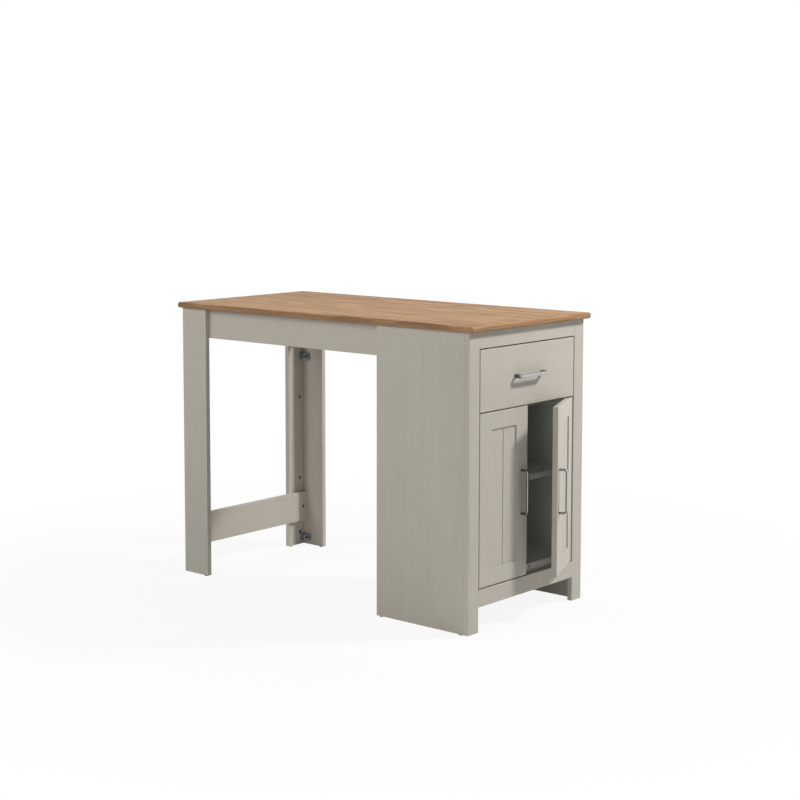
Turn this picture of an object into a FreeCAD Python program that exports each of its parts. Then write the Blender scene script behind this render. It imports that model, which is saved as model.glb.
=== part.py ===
"""Kitchen table with a storage cabinet at one end, as a parametric document.

X runs along the table towards the doors, Y across it and Z up. The floor is z = 0, the table is
centred across Y, and x = 0 is the middle of the whole part with the right door standing ajar.
"Front" is the long side at -Y and "rear" the one at +Y; "left" and "right" are as someone sees
them who faces the doors. Every length is in millimetres and comes from the sheet called Sizes.
"""
import FreeCAD, Part
import math
import os
import re
import Sketcher

V = FreeCAD.Vector
turn = FreeCAD.Rotation

doc = FreeCAD.newDocument("KitchenTable")
sheet = doc.addObject("Spreadsheet::Sheet", "Sizes")
nodes = []


# ------------------------------------------------------------------ the sheet of sizes

# Driving sizes, in millimetres, and one angle in degrees
driving = {
    # Whole table
    "Height": 880,                # floor to the upper face of the top
    "TopLength": 1200,            # top along X
    "TopDepth": 580,              # top along Y
    "TopThickness": 18,           # top, face to face
    "NosingRadius": 6.5,          # rounding of the top's upper and lower edges
    "TopCornerRadius": 5,         # rounding of the top's corners in plan
    "SideOverhang": 12,           # top beyond each long side of the body
    "LegEndOverhang": 12,         # top beyond the legs
    "DoorEndOverhang": 20,        # top beyond the face frame
    "BoardThickness": 16,         # every painted board of the body
    "EdgeEase": 0.8,              # eased edges of the boards
    "GlideHeight": 2.5,           # glide between a board and the floor
    "GlideRadius": 7,             # foot of a glide
    "GlideSpigotRadius": 2.5,     # spigot of a glide, driven into the board
    "GlideSpigot": 10,            # length of a glide's spigot
    "GlideSetback": 14,           # glide's centre from a board's end
    # Legs, stretcher and aprons
    "LegFaceWidth": 106,          # leg board along X
    "LegEndWidth": 72,            # leg board along Y, inside the face board
    "StretcherHeight": 100,       # stretcher board's width
    "StretcherLift": 88,          # floor to the stretcher
    "ApronHeight": 92,            # aprons below the top
    # Cabinet body and face frame
    "CabinetLength": 342,         # cabinet along X with its face frame
    "StileWidth": 47,             # face frame's uprights
    "FrameTopRail": 49,           # face frame's top rail
    "FrameBottomRail": 50,        # face frame's bottom rail
    "ToeHeight": 75,              # floor to the bottom rail
    "FloorGap": 9,                # bottom rail to the cabinet's bottom board
    "BattenHeight": 34,           # batten under the bottom board's front edge
    "ShelfTop": 410,              # floor to the upper face of the shelf
    "ShelfSetback": 25,           # shelf's front edge behind the face frame
    "ShelfSlack": 1,              # room around the shelf
    "DividerDrop": 2,             # rail below the drawer, under the drawer front
    "DividerWidth": 60,           # that rail along X
    "DividerSetback": 40,         # that rail's front edge behind the face frame
    "TieWidth": 60,               # rails under the top, along X
    # Drawer and doors
    "Gap": 3.5,                   # gap round the drawer front and the doors
    "FrontRound": 1.5,            # rounding of the drawer front's and the doors' edges
    "DrawerFrontHeight": 178,     # drawer front
    "BoxRoom": 30,                # drawer box to the cabinet's back
    "BoxHeight": 110,             # drawer box sides
    "BoxBoard": 12,               # drawer box sides and back
    "BoxLift": 22,                # drawer box above the lower edge of its front
    "BottomPanel": 4,             # drawer bottom
    "GrooveDepth": 5,             # groove that holds the drawer bottom
    "GrooveLift": 9,              # groove above the lower edge of the box
    "DoorStile": 54,              # plain border at each side of a door's recess
    "DoorRail": 50,               # plain border above and below a door's recess
    "RecessDepth": 4,             # recess routed into a door
    "VeeWidth": 4.5,              # V groove down the middle of the recess
    "VeeDepth": 3,                # V groove below the recess
    "DoorAjar": 24.5,             # angle at which the right door stands open, in degrees
    "SwingClearance": 1,          # cabinet's bottom to the path of a door's inner edge
    "BumperRadius": 4,            # pad that a door closes against
    "BumperClearance": 0.3,       # closed door to its pad
    "BumperInset": 40,            # pad from a door's free edge
    # Bow handles
    "HandleCentres": 128,         # handle, screw to screw
    "HandleStandoff": 25,         # front face to the handle's outer face
    "HandleWidth": 12,            # handle's strap across its run
    "HandleThickness": 6,         # handle's strap through its thickness
    "HandleBend": 6,              # inner radius of the handle's bends
    "HandleSoftening": 2.2,       # rounded corners of the strap's section
    "HandleScrewRadius": 1.95,    # handle screw's shank
    "HandleScrewBite": 9,         # handle screw inside the handle's foot
    "HandleHeadRadius": 4,        # handle screw's head
    "HandleHeadDepth": 2.2,       # height of that head
    # Runners
    "RunnerThickness": 12.7,      # runner between packer and drawer box
    "RunnerHeight": 36,           # outer rail
    "RunnerWall": 1.2,            # sheet that the rails are folded from
    "LipClearance": 2,            # outer rail's lips to the inner rail's web
    "RunnerPlay": 0.3,            # inner rail inside the outer one
    "RunnerSetback": 5,           # rails shorter than the drawer box
    "RunnerHeadroom": 26,         # runner's middle line above the lower edge of the box
    "PackerHeight": 48,           # packer that carries a runner
    # Hinges
    "PinDepth": 7,                # hinge pin behind a door's outer face
    "PinEdge": 8,                 # hinge pin from a door's edge
    "PinRadius": 1.5,             # hinge pin's radius
    "PinLength": 19,              # hinge pin from end to end
    "PinPlay": 0.05,              # arm's eye around the pin
    "EyeRadius": 2.8,             # arm's eye, outside
    "EyeClearance": 0.4,          # eye to the floor of the cup
    "CupRadius": 17.5,            # hinge cup
    "CupWall": 0.8,               # sheet that the cup is drawn from
    "CupEdge": 4.5,               # cup from the door's edge
    "FlangeLength": 60,           # cup's flange along Z
    "FlangeWidth": 18,            # cup's flange along Y
    "FlangeThickness": 1.5,       # cup's flange
    "FlangeScrews": 48,           # spacing of the flange's screws
    "ArmWidth": 10,               # hinge arm along Z
    "ArmThickness": 2,            # hinge arm's strap
    "NotchMargin": 1.5,           # door notch above and below the arm
    "PlateThickness": 4,          # mounting plate
    "PlateMargin": 3,             # mounting plate to the cabinet's side
    "PlateHeight": 46,            # mounting plate along Z
    "PlateScrews": 32,            # spacing of the mounting plate's screws
    "HingeInset": 78,             # hinge from the door's upper and lower edge
    # Fixings
    "ScrewRadius": 1.6,           # wood screw's shank
    "ScrewHeadRadius": 3.4,       # wood screw's countersunk head
    "ScrewHeadDepth": 2,          # height of that head
    "ShortScrew": 14,             # short wood screw
    "LongBite": 11,               # long wood screw beyond the first board
    "CamRadius": 6,               # cam lock
    "CamDepth": 11,               # depth of a cam lock
    "CamInset": 18,               # cam from the board that its bolt goes into
    "CamSocket": 2.4,             # square socket of a cam, across half its corners
    "CamSocketDepth": 1.8,        # depth of that socket
    "CamBoltRadius": 3,           # cam bolt
    "CamBoltBite": 10,            # cam bolt inside the far board
    "CamLow": 46,                 # lowest cam of a leg
    "CamMiddle": 236,             # middle cam of a leg
    "CamHigh": 518,               # upper cam of a leg
    "DowelRadius": 4,             # wooden dowel
    "DowelReach": 12,             # dowel on each side of its joint
    "ShelfPinRadius": 2.5,        # shelf pin
    "ShelfPinReach": 8,           # shelf pin on each side of the panel's face
    "BlockLength": 33,            # corner block along X
    "BlockDepth": 17,             # corner block along Y
    "BlockHeight": 20,            # corner block along Z
    "BlockToe": 7,                # corner block's thin end
    "BlockLow": 28,               # middle of a leg's lower corner block
    "BlockDrop": 110,             # a leg's upper corner block below the aprons
    "HeadRoom": 0.4,              # room round a screw's head in a corner block
    "BracketLeg": 20,             # top bracket's two legs
    "BracketWidth": 22,           # top bracket along X
    "BracketSheet": 1.6,          # top bracket's sheet
}

# Sizes and places worked out from the driving ones, as formulas of the sheet
derived = {
    # body along X
    "BodyLength": "TopLength - LegEndOverhang - DoorEndOverhang",
    # middle to a long side's outer face
    "HalfDepth": "TopDepth / 2 - SideOverhang",
    # middle to a long side's inner face
    "InnerHalf": "HalfDepth - BoardThickness",
    # middle to a stile's inner edge
    "OpeningHalf": "HalfDepth - StileWidth",
    # floor to the underside of the top
    "TopUnder": "Height - TopThickness",
    # boards from the glides to the top
    "BoardHeight": "TopUnder - GlideHeight",
    # one door
    "DoorWidth": "(2 * OpeningHalf - 3 * Gap) / 2",
    # upper edge of the drawer front
    "DrawerTop": "TopUnder - FrameTopRail - Gap",
    # lower edge of the drawer front
    "DrawerBottom": "DrawerTop - DrawerFrontHeight",
    # lower edge of the doors
    "DoorBottom": "ToeHeight + FrameBottomRail + Gap",
    # doors
    "DoorHeight": "DrawerBottom - Gap - DoorBottom",
    # hinge pin to a door handle
    "HandleArm": "DoorWidth - PinEdge - DoorStile / 2",
    # hinge pin to the outermost point of the open door's handle, along X
    "AjarReach": "(HandleArm + HandleWidth / 2 - HandleSoftening) * sin(DoorAjar * 1deg)"
        " + (PinDepth + HandleStandoff - HandleSoftening) * cos(DoorAjar * 1deg) + HandleSoftening",
    # whole part along X
    "TotalLength": "LegEndOverhang + BodyLength - PinDepth + AjarReach",
    # outer face of the legs
    "BodyLeft": "LegEndOverhang - TotalLength / 2",
    # outer face of the face frame
    "BodyRight": "BodyLeft + BodyLength",
    # inner face of the face frame
    "FrameBack": "BodyRight - BoardThickness",
    # outer face of the cabinet's back
    "CabinetLeft": "BodyRight - CabinetLength",
    # inner face of the cabinet's back
    "CabinetInner": "CabinetLeft + BoardThickness",
    # lower edge of the aprons
    "ApronBottom": "TopUnder - ApronHeight",
    # middle of a leg's upper corner block
    "BlockHigh": "ApronBottom - BlockDrop",
    # long wood screw
    "LongScrew": "BoardThickness + LongBite",
    # floor to the upper face of the cabinet's bottom
    "CabinetFloor": "ToeHeight + FrameBottomRail + FloorGap + BoardThickness",
    # floor to the upper face of the rail below the drawer
    "DividerTop": "DrawerBottom - DividerDrop",
    # mounting plate along Y
    "PlateWidth": "InnerHalf - OpeningHalf - PlateMargin",
    # hinge pins along X
    "HingeX": "BodyRight - PinDepth",
    # middle to a hinge pin
    "HingeHalf": "OpeningHalf - Gap - PinEdge",
    # door's inner face from the hinge pin
    "InnerFace": "PinDepth - BoardThickness",
    # cabinet's bottom behind a closed door
    "StopGap": "sqrt(InnerFace * InnerFace + PinEdge * PinEdge) + InnerFace + SwingClearance",
    # bottom of the cup from the hinge pin
    "CupFloor": "EyeRadius + EyeClearance + CupWall",
    # cup's middle from the hinge pin
    "CupY": "PinEdge - CupEdge - CupRadius",
    # front face to the grip's middle line
    "GripLine": "HandleStandoff - HandleThickness / 2",
    # bends of the handle's middle line
    "BendRadius": "HandleBend + HandleThickness / 2",
    # front face to the start of a bend
    "BendStart": "GripLine - BendRadius",
    # handle's middle to the end of its grip
    "GripEnd": "HandleCentres / 2 - BendRadius",
    # lower edge of the drawer box
    "BoxBottom": "DrawerBottom + BoxLift",
    # middle to a box side's outer face
    "BoxHalf": "OpeningHalf - RunnerThickness",
    # rear end of the drawer box
    "BoxBack": "CabinetInner + BoxRoom",
    # drawer box along X
    "BoxLength": "FrameBack - BoxBack",
    # runners along X
    "RunnerLength": "BoxLength - RunnerSetback",
    # packer to the ends of the outer rail's lips
    "RunnerLip": "RunnerThickness - RunnerWall - LipClearance",
    # middle line of the runners
    "RunnerZ": "BoxBottom + RunnerHeadroom",
}

cells = {name: str(number) for name, number in driving.items()}
cells.update({name: "=" + formula for name, formula in derived.items()})
for line, (name, content) in enumerate(cells.items(), 1):
    sheet.set(f"A{line}", name)
    sheet.set(f"B{line}", content)
    sheet.setAlias(f"B{line}", name)
doc.recompute()


# ------------------------------------------------------------------ shared ways of working

PLUS_X = turn(V(0, 1, 0), 90)
MINUS_X = turn(V(0, 1, 0), -90)
PLUS_Y = turn(V(1, 0, 0), -90)
MINUS_Y = turn(V(1, 0, 0), 90)
PLUS_Z = turn()


def bound(text):
    """An expression in which each size is looked up in the sheet."""
    return re.sub(r"\b[A-Z]\w+", lambda name: "Sizes." + name.group(), str(text))


def bind(thing, **expressions):
    """Tie properties of an object to expressions."""
    for name, text in expressions.items():
        thing.setExpression(name, bound(text))


def place(thing, x, y, z):
    """Tie an object's place to expressions and leave its turn as it is."""
    for axis, text in zip("xyz", (x, y, z)):
        thing.setExpression(f"Placement.Base.{axis}", bound(text))


def keep(thing, label):
    """Name a finished sub-part, which is written to a file of that name."""
    thing.Label = label
    nodes.append(thing)
    return thing


def body(name):
    """An empty body."""
    return doc.addObject("PartDesign::Body", name)


def sketch(owner, role, offset="0"):
    """A sketch on one of the body's own planes, moved along that plane's normal."""
    drawing = owner.newObject("Sketcher::SketchObject", "sketch")
    base = next(plane for plane in owner.Origin.OriginFeatures if plane.Role == role)
    drawing.AttachmentSupport = [(base, "")]
    drawing.MapMode = "FlatFace"
    drawing.setExpression("AttachmentOffset.Base.z", bound(offset))
    return drawing


def tie_point(drawing, geometry, point, x, y):
    """Tie one point of a sketch to a pair of expressions."""
    now = drawing.getPoint(geometry, point)
    for kind, text, start in (("DistanceX", x, now.x), ("DistanceY", y, now.y)):
        index = drawing.addConstraint(Sketcher.Constraint(kind, -1, 1, geometry, point, start))
        label = f"{kind}_{geometry}_{point}"
        drawing.renameConstraint(index, label)
        drawing.setExpression(f"Constraints.{label}", bound(text))


def outline(drawing, corners):
    """A closed outline whose corners are pairs of expressions."""
    count = len(corners)
    first = drawing.GeometryCount
    ring = [V(math.cos(2 * math.pi * i / count), math.sin(2 * math.pi * i / count), 0)
            for i in range(count)]
    for i in range(count):
        drawing.addGeometry(Part.LineSegment(ring[i], ring[(i + 1) % count]), False)
    for i, (x, y) in enumerate(corners):
        following = first + (i + 1) % count
        drawing.addConstraint(Sketcher.Constraint("Coincident", first + i, 2, following, 1))
        tie_point(drawing, first + i, 1, x, y)


def rectangle(drawing, left, low, right, high):
    """A rectangle between two corners, each given as expressions."""
    outline(drawing, [(left, low), (right, low), (right, high), (left, high)])


def circle(drawing, x, y, radius):
    """A circle whose centre and radius are expressions."""
    index = drawing.addGeometry(Part.Circle(V(0, 0, 0), V(0, 0, 1), 1), False)
    tie_point(drawing, index, 3, x, y)
    rule = drawing.addConstraint(Sketcher.Constraint("Radius", index, 1.0))
    drawing.renameConstraint(rule, f"Radius_{index}")
    drawing.setExpression(f"Constraints.Radius_{index}", bound(radius))


def pad(owner, drawing, length):
    """Solid drawn out of a sketch, along its normal."""
    feature = owner.newObject("PartDesign::Pad", "pad")
    feature.Profile = drawing
    bind(feature, Length=length)
    doc.recompute()
    return feature


def pocket(owner, drawing, depth, reverse=False):
    """Hollow cut below a sketch; it must take material away."""
    before = owner.Shape.Volume
    feature = owner.newObject("PartDesign::Pocket", "pocket")
    feature.Profile = drawing
    feature.Reversed = reverse
    bind(feature, Length=depth)
    doc.recompute()
    if owner.Shape.Volume >= before:
        raise RuntimeError(f"a pocket in {owner.Label} cuts nothing")
    return feature


def rounded(owner, feature, edges, radius):
    """Edges of a feature rounded off."""
    fillet = owner.newObject("PartDesign::Fillet", "rounding")
    fillet.Base = (feature, edges)
    bind(fillet, Radius=radius)
    doc.recompute()
    return fillet


def edges_where(feature, test):
    """Names of a feature's edges that pass a test."""
    return [f"Edge{i}" for i, edge in enumerate(feature.Shape.Edges, 1) if test(edge)]


def plank(name, low, extent, ease="EdgeEase"):
    """A flat board from its low corner and its extent, with its edges eased."""
    made = body(f"{name}_blank")
    drawing = sketch(made, "XY_Plane")
    rectangle(drawing, "0", "0", extent[0], extent[1])
    block = pad(made, drawing, extent[2])
    if ease:
        rounded(made, block, edges_where(block, lambda edge: True), ease)
    place(made, *low)
    return made


def group(name, members):
    """Separate solids that share one name."""
    made = doc.addObject("Part::Compound", name)
    made.Links = members
    return made


def joined(name, members):
    """Solids made one."""
    made = doc.addObject("Part::MultiFuse", name)
    made.Shapes = members
    return made


def without(name, blank, *tools):
    """A solid with the shapes of others taken out of it, so that they fit it face to face."""
    result = blank
    for tool in tools:
        cut = doc.addObject("Part::Cut", f"{name}_cut")
        cut.Base = result
        cut.Tool = tool
        result = cut
    return result


def fitted(label, blank, *tools):
    """A finished sub-part, with the shapes of its neighbours taken out of it."""
    return keep(without(label, blank, *tools), label)


def cylinder(way, at, radius, length):
    """A cylinder that starts at a point and runs one way."""
    made = doc.addObject("Part::Cylinder", "cylinder")
    made.Placement = FreeCAD.Placement(V(), way)
    bind(made, Radius=radius, Height=length)
    place(made, *at)
    return made


def box(low, extent):
    """A plain block from its low corner."""
    made = doc.addObject("Part::Box", "box")
    bind(made, Length=extent[0], Width=extent[1], Height=extent[2])
    place(made, *low)
    return made


def screw(way, at, length):
    """A countersunk wood screw whose head's face is at a point."""
    head = doc.addObject("Part::Cone", "head")
    head.Placement = FreeCAD.Placement(V(), way)
    bind(head, Radius1="ScrewHeadRadius", Radius2="ScrewRadius", Height="ScrewHeadDepth")
    place(head, *at)
    return joined("screw", [head, cylinder(way, at, "ScrewRadius", length)])


def across(side, distance):
    """A place across the table, on its front (-1) or its rear (1)."""
    return f"{side} * ({distance})"


def low_across(side, nearer, farther):
    """Low Y corner of a board that lies between two distances from the middle."""
    return f"-({farther})" if side < 0 else nearer


SIDES = (("front", -1, MINUS_Y, PLUS_Y), ("rear", 1, PLUS_Y, MINUS_Y))


# ------------------------------------------------------------------ cams, bolts, dowels, pins

def cam_joint(face_way, x, z, lift_x, lift_z):
    """A cam and its bolt near each long side: the cam sinks into a face, the bolt leaves sideways.

    x and z are the cam's middle on the face; lift_x and lift_z lead from there to the bolt.
    """
    for name, side, outward, inward in SIDES:
        at = (x, across(side, "InnerHalf - CamInset"), z)
        cam_blanks.append(cylinder(face_way, at, "CamRadius", "CamDepth"))
        socket = doc.addObject("Part::Prism", "socket")
        socket.Polygon = 4
        socket.Placement = FreeCAD.Placement(V(), face_way)
        bind(socket, Circumradius="CamSocket", Height="CamSocketDepth")
        place(socket, *at)
        cam_sockets.append(socket)
        start = (f"{x} + {lift_x}", at[1], f"{z} + {lift_z}")
        cam_bolt_list.append(cylinder(outward, start, "CamBoltRadius", "CamInset + CamBoltBite"))


cam_blanks = []
cam_sockets = []
cam_bolt_list = []
for cam_z in ("CamLow", "CamMiddle", "CamHigh"):
    cam_joint(MINUS_X, "BodyLeft + BoardThickness", cam_z, "-BoardThickness / 2", "0")
cam_joint(MINUS_X, "BodyLeft + 2 * BoardThickness", "StretcherLift + StretcherHeight / 2",
          "-BoardThickness / 2", "0")
for cam_z in ("CabinetFloor + 2 * CamInset", "ShelfTop + 4 * CamInset", "TopUnder - 4 * CamInset"):
    cam_joint(MINUS_X, "CabinetInner", cam_z, "-BoardThickness / 2", "0")
for cam_x in ("CabinetInner + 2 * CamInset", "FrameBack - 2 * CamInset"):
    cam_joint(PLUS_Z, cam_x, "CabinetFloor - BoardThickness", "0", "BoardThickness / 2")
cam_joint(PLUS_Z, "FrameBack - DividerSetback - DividerWidth / 2", "DividerTop - BoardThickness",
          "0", "BoardThickness / 2")
cam_joint(PLUS_Z, "FrameBack - TieWidth / 2", "TopUnder - BoardThickness",
          "0", "BoardThickness / 2")
cam_joint(PLUS_Z, "CabinetInner + TieWidth / 2", "TopUnder - BoardThickness",
          "0", "BoardThickness / 2")
cam_seats = group("cam_seats", cam_blanks)
cam_bolts = keep(group("cam_bolts", cam_bolt_list), "cam_bolts")
fitted("cam_locks", cam_seats, group("cam_sockets", cam_sockets), cam_bolts)


def dowel_across(x, inner, z):
    """Dowels along Y, one on each side, halfway through a joint at a distance from the middle."""
    return [cylinder(outward, (x, across(side, f"{inner} - DowelReach"), z),
                     "DowelRadius", "2 * DowelReach") for name, side, outward, inward in SIDES]


dowel_list = []
for dowel_z in ("(CamMiddle + CamHigh) / 2", "(CamHigh + BlockHigh) / 2"):
    dowel_list += dowel_across("BodyLeft + BoardThickness / 2", "InnerHalf", dowel_z)
for dowel_z in ("TopUnder - FrameTopRail / 2", "ToeHeight + FrameBottomRail / 2"):
    dowel_list += dowel_across("FrameBack + BoardThickness / 2", "OpeningHalf", dowel_z)
for dowel_x in ("CabinetInner + BoxBoard", "FrameBack - BoxBoard"):
    dowel_list += dowel_across(dowel_x, "InnerHalf", "RunnerZ")
for name, side, outward, inward in SIDES:
    for dowel_z in ("ToeHeight", "ShelfTop", "DrawerTop"):
        dowel_list.append(cylinder(
            PLUS_X, ("FrameBack - DowelReach", across(side, "HalfDepth - BoardThickness / 2"), dowel_z),
            "DowelRadius", "2 * DowelReach"))
dowels = keep(group("dowels", dowel_list), "dowels")

pin_list = []
for name, side, outward, inward in SIDES:
    for pin_x in ("CabinetInner + 2 * CamInset", "FrameBack - ShelfSetback - 2 * CamInset"):
        pin_list.append(cylinder(
            inward, (pin_x, across(side, "InnerHalf + ShelfPinReach"),
                     "ShelfTop - BoardThickness - ShelfPinRadius"),
            "ShelfPinRadius", "2 * ShelfPinReach"))
shelf_pins = keep(group("shelf_pins", pin_list), "shelf_pins")


def glide(x, y):
    """A plastic glide: a round foot with a spigot up into the board."""
    foot = cylinder(PLUS_Z, (x, y, "0"), "GlideRadius", "GlideHeight")
    spigot = cylinder(PLUS_Z, (x, y, "0"), "GlideSpigotRadius", "GlideHeight + GlideSpigot")
    return joined("glide", [foot, spigot])


glide_list = []
for name, side, outward, inward in SIDES:
    board_middle = across(side, "HalfDepth - BoardThickness / 2")
    glide_list.append(glide("BodyLeft + BoardThickness / 2",
                            across(side, "InnerHalf - LegEndWidth + GlideSetback")))
    glide_list.append(glide("BodyLeft + LegFaceWidth - GlideSetback", board_middle))
    glide_list.append(glide("CabinetLeft + GlideSetback", board_middle))
    glide_list.append(glide("FrameBack - GlideSetback", board_middle))
foot_glides = keep(group("foot_glides", glide_list), "foot_glides")


# ------------------------------------------------------------------ corner blocks and brackets

def corner_block(side, x, way, inner, z):
    """A wedge-shaped block in the corner between a long board and one across it.

    x is the face of the board across, way is the side of it that the block lies on, and inner is
    the long board's inner face, as a distance from the middle.
    """
    block = body("corner_block")
    drawing = sketch(block, "XY_Plane", "-BlockHeight / 2")
    outline(drawing, [("0", "0"), (f"{way} * BlockLength", "0"),
                      (f"{way} * BlockLength", f"{-side} * BlockToe"),
                      (f"{way} * BlockDepth", f"{-side} * BlockDepth"),
                      ("0", f"{-side} * BlockDepth")])
    pad(block, drawing, "BlockHeight")
    place(block, x, across(side, inner), z)
    outward = PLUS_Y if side > 0 else MINUS_Y
    into_end = MINUS_X if way > 0 else PLUS_X
    into_long = (f"{x} + {way} * (BlockLength - BlockToe)",
                 across(side, f"{inner} - BlockToe"), z)
    into_cross = (f"{x} + {way} * BlockToe", across(side, f"{inner} - BlockDepth + BlockToe"), z)
    short_list.append(screw(outward, into_long, "ShortScrew"))
    short_list.append(screw(into_end, into_cross, "ShortScrew"))
    half = "(ScrewHeadRadius + HeadRoom)"
    channel = box((f"{x} + BlockToe" if way > 0 else f"{x} - BlockLength",
                   f"{into_cross[1]} - {half}", f"{z} - {half}"),
                  ("BlockLength - BlockToe", f"2 * {half}", f"2 * {half}"))
    slot = box((f"{into_long[0]} - {half}",
                low_across(side, f"{inner} - BlockDepth", f"{inner} - BlockToe"), f"{z} - {half}"),
               (f"2 * {half}", "BlockDepth - BlockToe", f"2 * {half}"))
    return without("corner_block", block, channel, slot)


def top_bracket(side, x):
    """An angle of sheet steel that ties an apron to the top."""
    bracket = body("bracket")
    drawing = sketch(bracket, "YZ_Plane", "-BracketWidth / 2")
    outline(drawing, [("0", "0"), (f"{-side} * BracketLeg", "0"),
                      (f"{-side} * BracketLeg", "-BracketSheet"),
                      (f"{-side} * BracketSheet", "-BracketSheet"),
                      (f"{-side} * BracketSheet", "-BracketLeg"), ("0", "-BracketLeg")])
    pad(bracket, drawing, "BracketWidth")
    apron_face = "InnerHalf - BoardThickness"
    place(bracket, x, across(side, apron_face), "TopUnder")
    middle = "(BracketLeg + BracketSheet) / 2"
    outward = PLUS_Y if side > 0 else MINUS_Y
    short_list.append(screw(PLUS_Z, (x, across(side, f"{apron_face} - {middle}"),
                                     "TopUnder - BracketSheet"), "ShortScrew"))
    short_list.append(screw(outward, (x, across(side, f"{apron_face} - BracketSheet"),
                                      f"TopUnder - {middle}"), "ShortScrew"))
    return bracket


short_list = []
block_list = []
bracket_list = []
for name, side, outward, inward in SIDES:
    for block_z in ("BlockLow", "BlockHigh"):
        block_list.append(corner_block(side, "BodyLeft + BoardThickness", 1, "InnerHalf", block_z))
    for block_x, way in (("BodyLeft + 2 * BoardThickness", 1), ("CabinetLeft", -1)):
        block_list.append(corner_block(side, block_x, way, "InnerHalf - BoardThickness",
                                       "TopUnder - ApronHeight / 2"))
    for share in (1, 2, 3):
        spacing = f"{share} * (CabinetLeft - BodyLeft) / 4"
        bracket_list.append(top_bracket(side, f"BodyLeft + {spacing}"))


# ------------------------------------------------------------------ hinges, in the door's frame

def hinge_heights():
    """Heights of a door's two hinges above its lower edge."""
    return ("HingeInset", "DoorHeight - HingeInset")


def hinge_cup(side, z):
    """A drawn cup with its flange, open at the notch where the arm comes in."""
    shell = cylinder(PLUS_X, ("InnerFace", across(side, "CupY"), z),
                     "CupRadius", "CupFloor - InnerFace")
    flange = box(("InnerFace - FlangeThickness", across(side, "CupY") + " - FlangeWidth / 2",
                  f"{z} - FlangeLength / 2"), ("FlangeThickness", "FlangeWidth", "FlangeLength"))
    hollow = cylinder(PLUS_X, ("InnerFace - FlangeThickness", across(side, "CupY"), z),
                      "CupRadius - CupWall", "CupFloor - InnerFace + FlangeThickness - CupWall")
    return without("hinge_cup", joined("cup_shell", [shell, flange]), hollow,
                   hinge_notch(side, z), hinge_pin(z))


def hinge_notch(side, z):
    """The room that the arm needs at the hinge edge of the door, from behind up to the pin."""
    height = "(ArmWidth + 2 * NotchMargin)"
    return box(("InnerFace - FlangeThickness",
                low_across(side, "-EyeRadius - EyeClearance", "PinEdge + 1"),
                f"{z} - {height} / 2"),
               ("EyeRadius + EyeClearance - InnerFace + FlangeThickness",
                "PinEdge + 1 + EyeRadius + EyeClearance", height))


def hinge_pin(z):
    """The upright pin, through both walls of the cup."""
    return cylinder(PLUS_Z, ("0", "0", f"{z} - PinLength / 2"), "PinRadius", "PinLength")


def hinge_arm(side, z):
    """A strap with an eye on the pin, a neck straight back and a foot on the mounting plate."""
    low = f"{z} - ArmWidth / 2"
    back = "(InnerFace - PlateThickness - ArmThickness)"
    hinge_y = across(side, "HingeHalf")
    eye = cylinder(PLUS_Z, ("HingeX", hinge_y, low), "EyeRadius", "ArmWidth")
    neck = box((f"HingeX + {back}", f"{hinge_y} - ArmThickness / 2", low),
               (f"-{back}", "ArmThickness", "ArmWidth"))
    foot = box((f"HingeX + {back}",
                low_across(side, "HingeHalf - ArmThickness / 2",
                           "HingeHalf + PinEdge + Gap + PlateWidth"), low),
               ("ArmThickness", "PinEdge + Gap + PlateWidth + ArmThickness / 2", "ArmWidth"))
    bore = cylinder(PLUS_Z, ("HingeX", hinge_y, low), "PinRadius + PinPlay", "ArmWidth")
    return without("hinge_arm", joined("arm", [eye, neck, foot]), bore)


def hinge_plate(side, z):
    """A flat plate on the back of the stile."""
    plate = plank("hinge_plate",
                  ("FrameBack - PlateThickness",
                   low_across(side, "OpeningHalf", "OpeningHalf + PlateWidth"),
                   f"{z} - PlateHeight / 2"),
                  ("PlateThickness", "PlateWidth", "PlateHeight"), None)
    middle = across(side, "OpeningHalf + PlateWidth / 2")
    for way in (-1, 1):
        short_list.append(screw(PLUS_X, ("FrameBack - PlateThickness", middle,
                                         f"{z} + {way} * PlateScrews / 2"), "ShortScrew"))
    short_list.append(screw(PLUS_X, ("FrameBack - PlateThickness - ArmThickness", middle, z),
                            "ShortScrew"))
    return plate


arm_list = []
plate_list = []
for name, side, outward, inward in SIDES:
    for height in hinge_heights():
        arm_list.append(hinge_arm(side, f"DoorBottom + {height}"))
        plate_list.append(hinge_plate(side, f"DoorBottom + {height}"))


# ------------------------------------------------------------------ runners

def runner(side, web, lip, height, x, length):
    """A folded channel: its web stands at one distance from the packer, its lips reach to another."""
    rail = body("runner")
    drawing = sketch(rail, "YZ_Plane")
    outer = f"({height}) / 2"
    inner = f"(({height}) / 2 - RunnerWall)"
    inside = f"({web} + RunnerWall)" if web == "0" else f"({web} - RunnerWall)"
    y = [f"{-side} * {distance}" for distance in (f"({web})", inside, f"({lip})")]
    outline(drawing, [(y[0], f"-{outer}"), (y[2], f"-{outer}"), (y[2], f"-{inner}"),
                      (y[1], f"-{inner}"), (y[1], inner), (y[2], inner), (y[2], outer),
                      (y[0], outer)])
    pad(rail, drawing, length)
    place(rail, x, across(side, "OpeningHalf"), "RunnerZ")
    return rail


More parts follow.
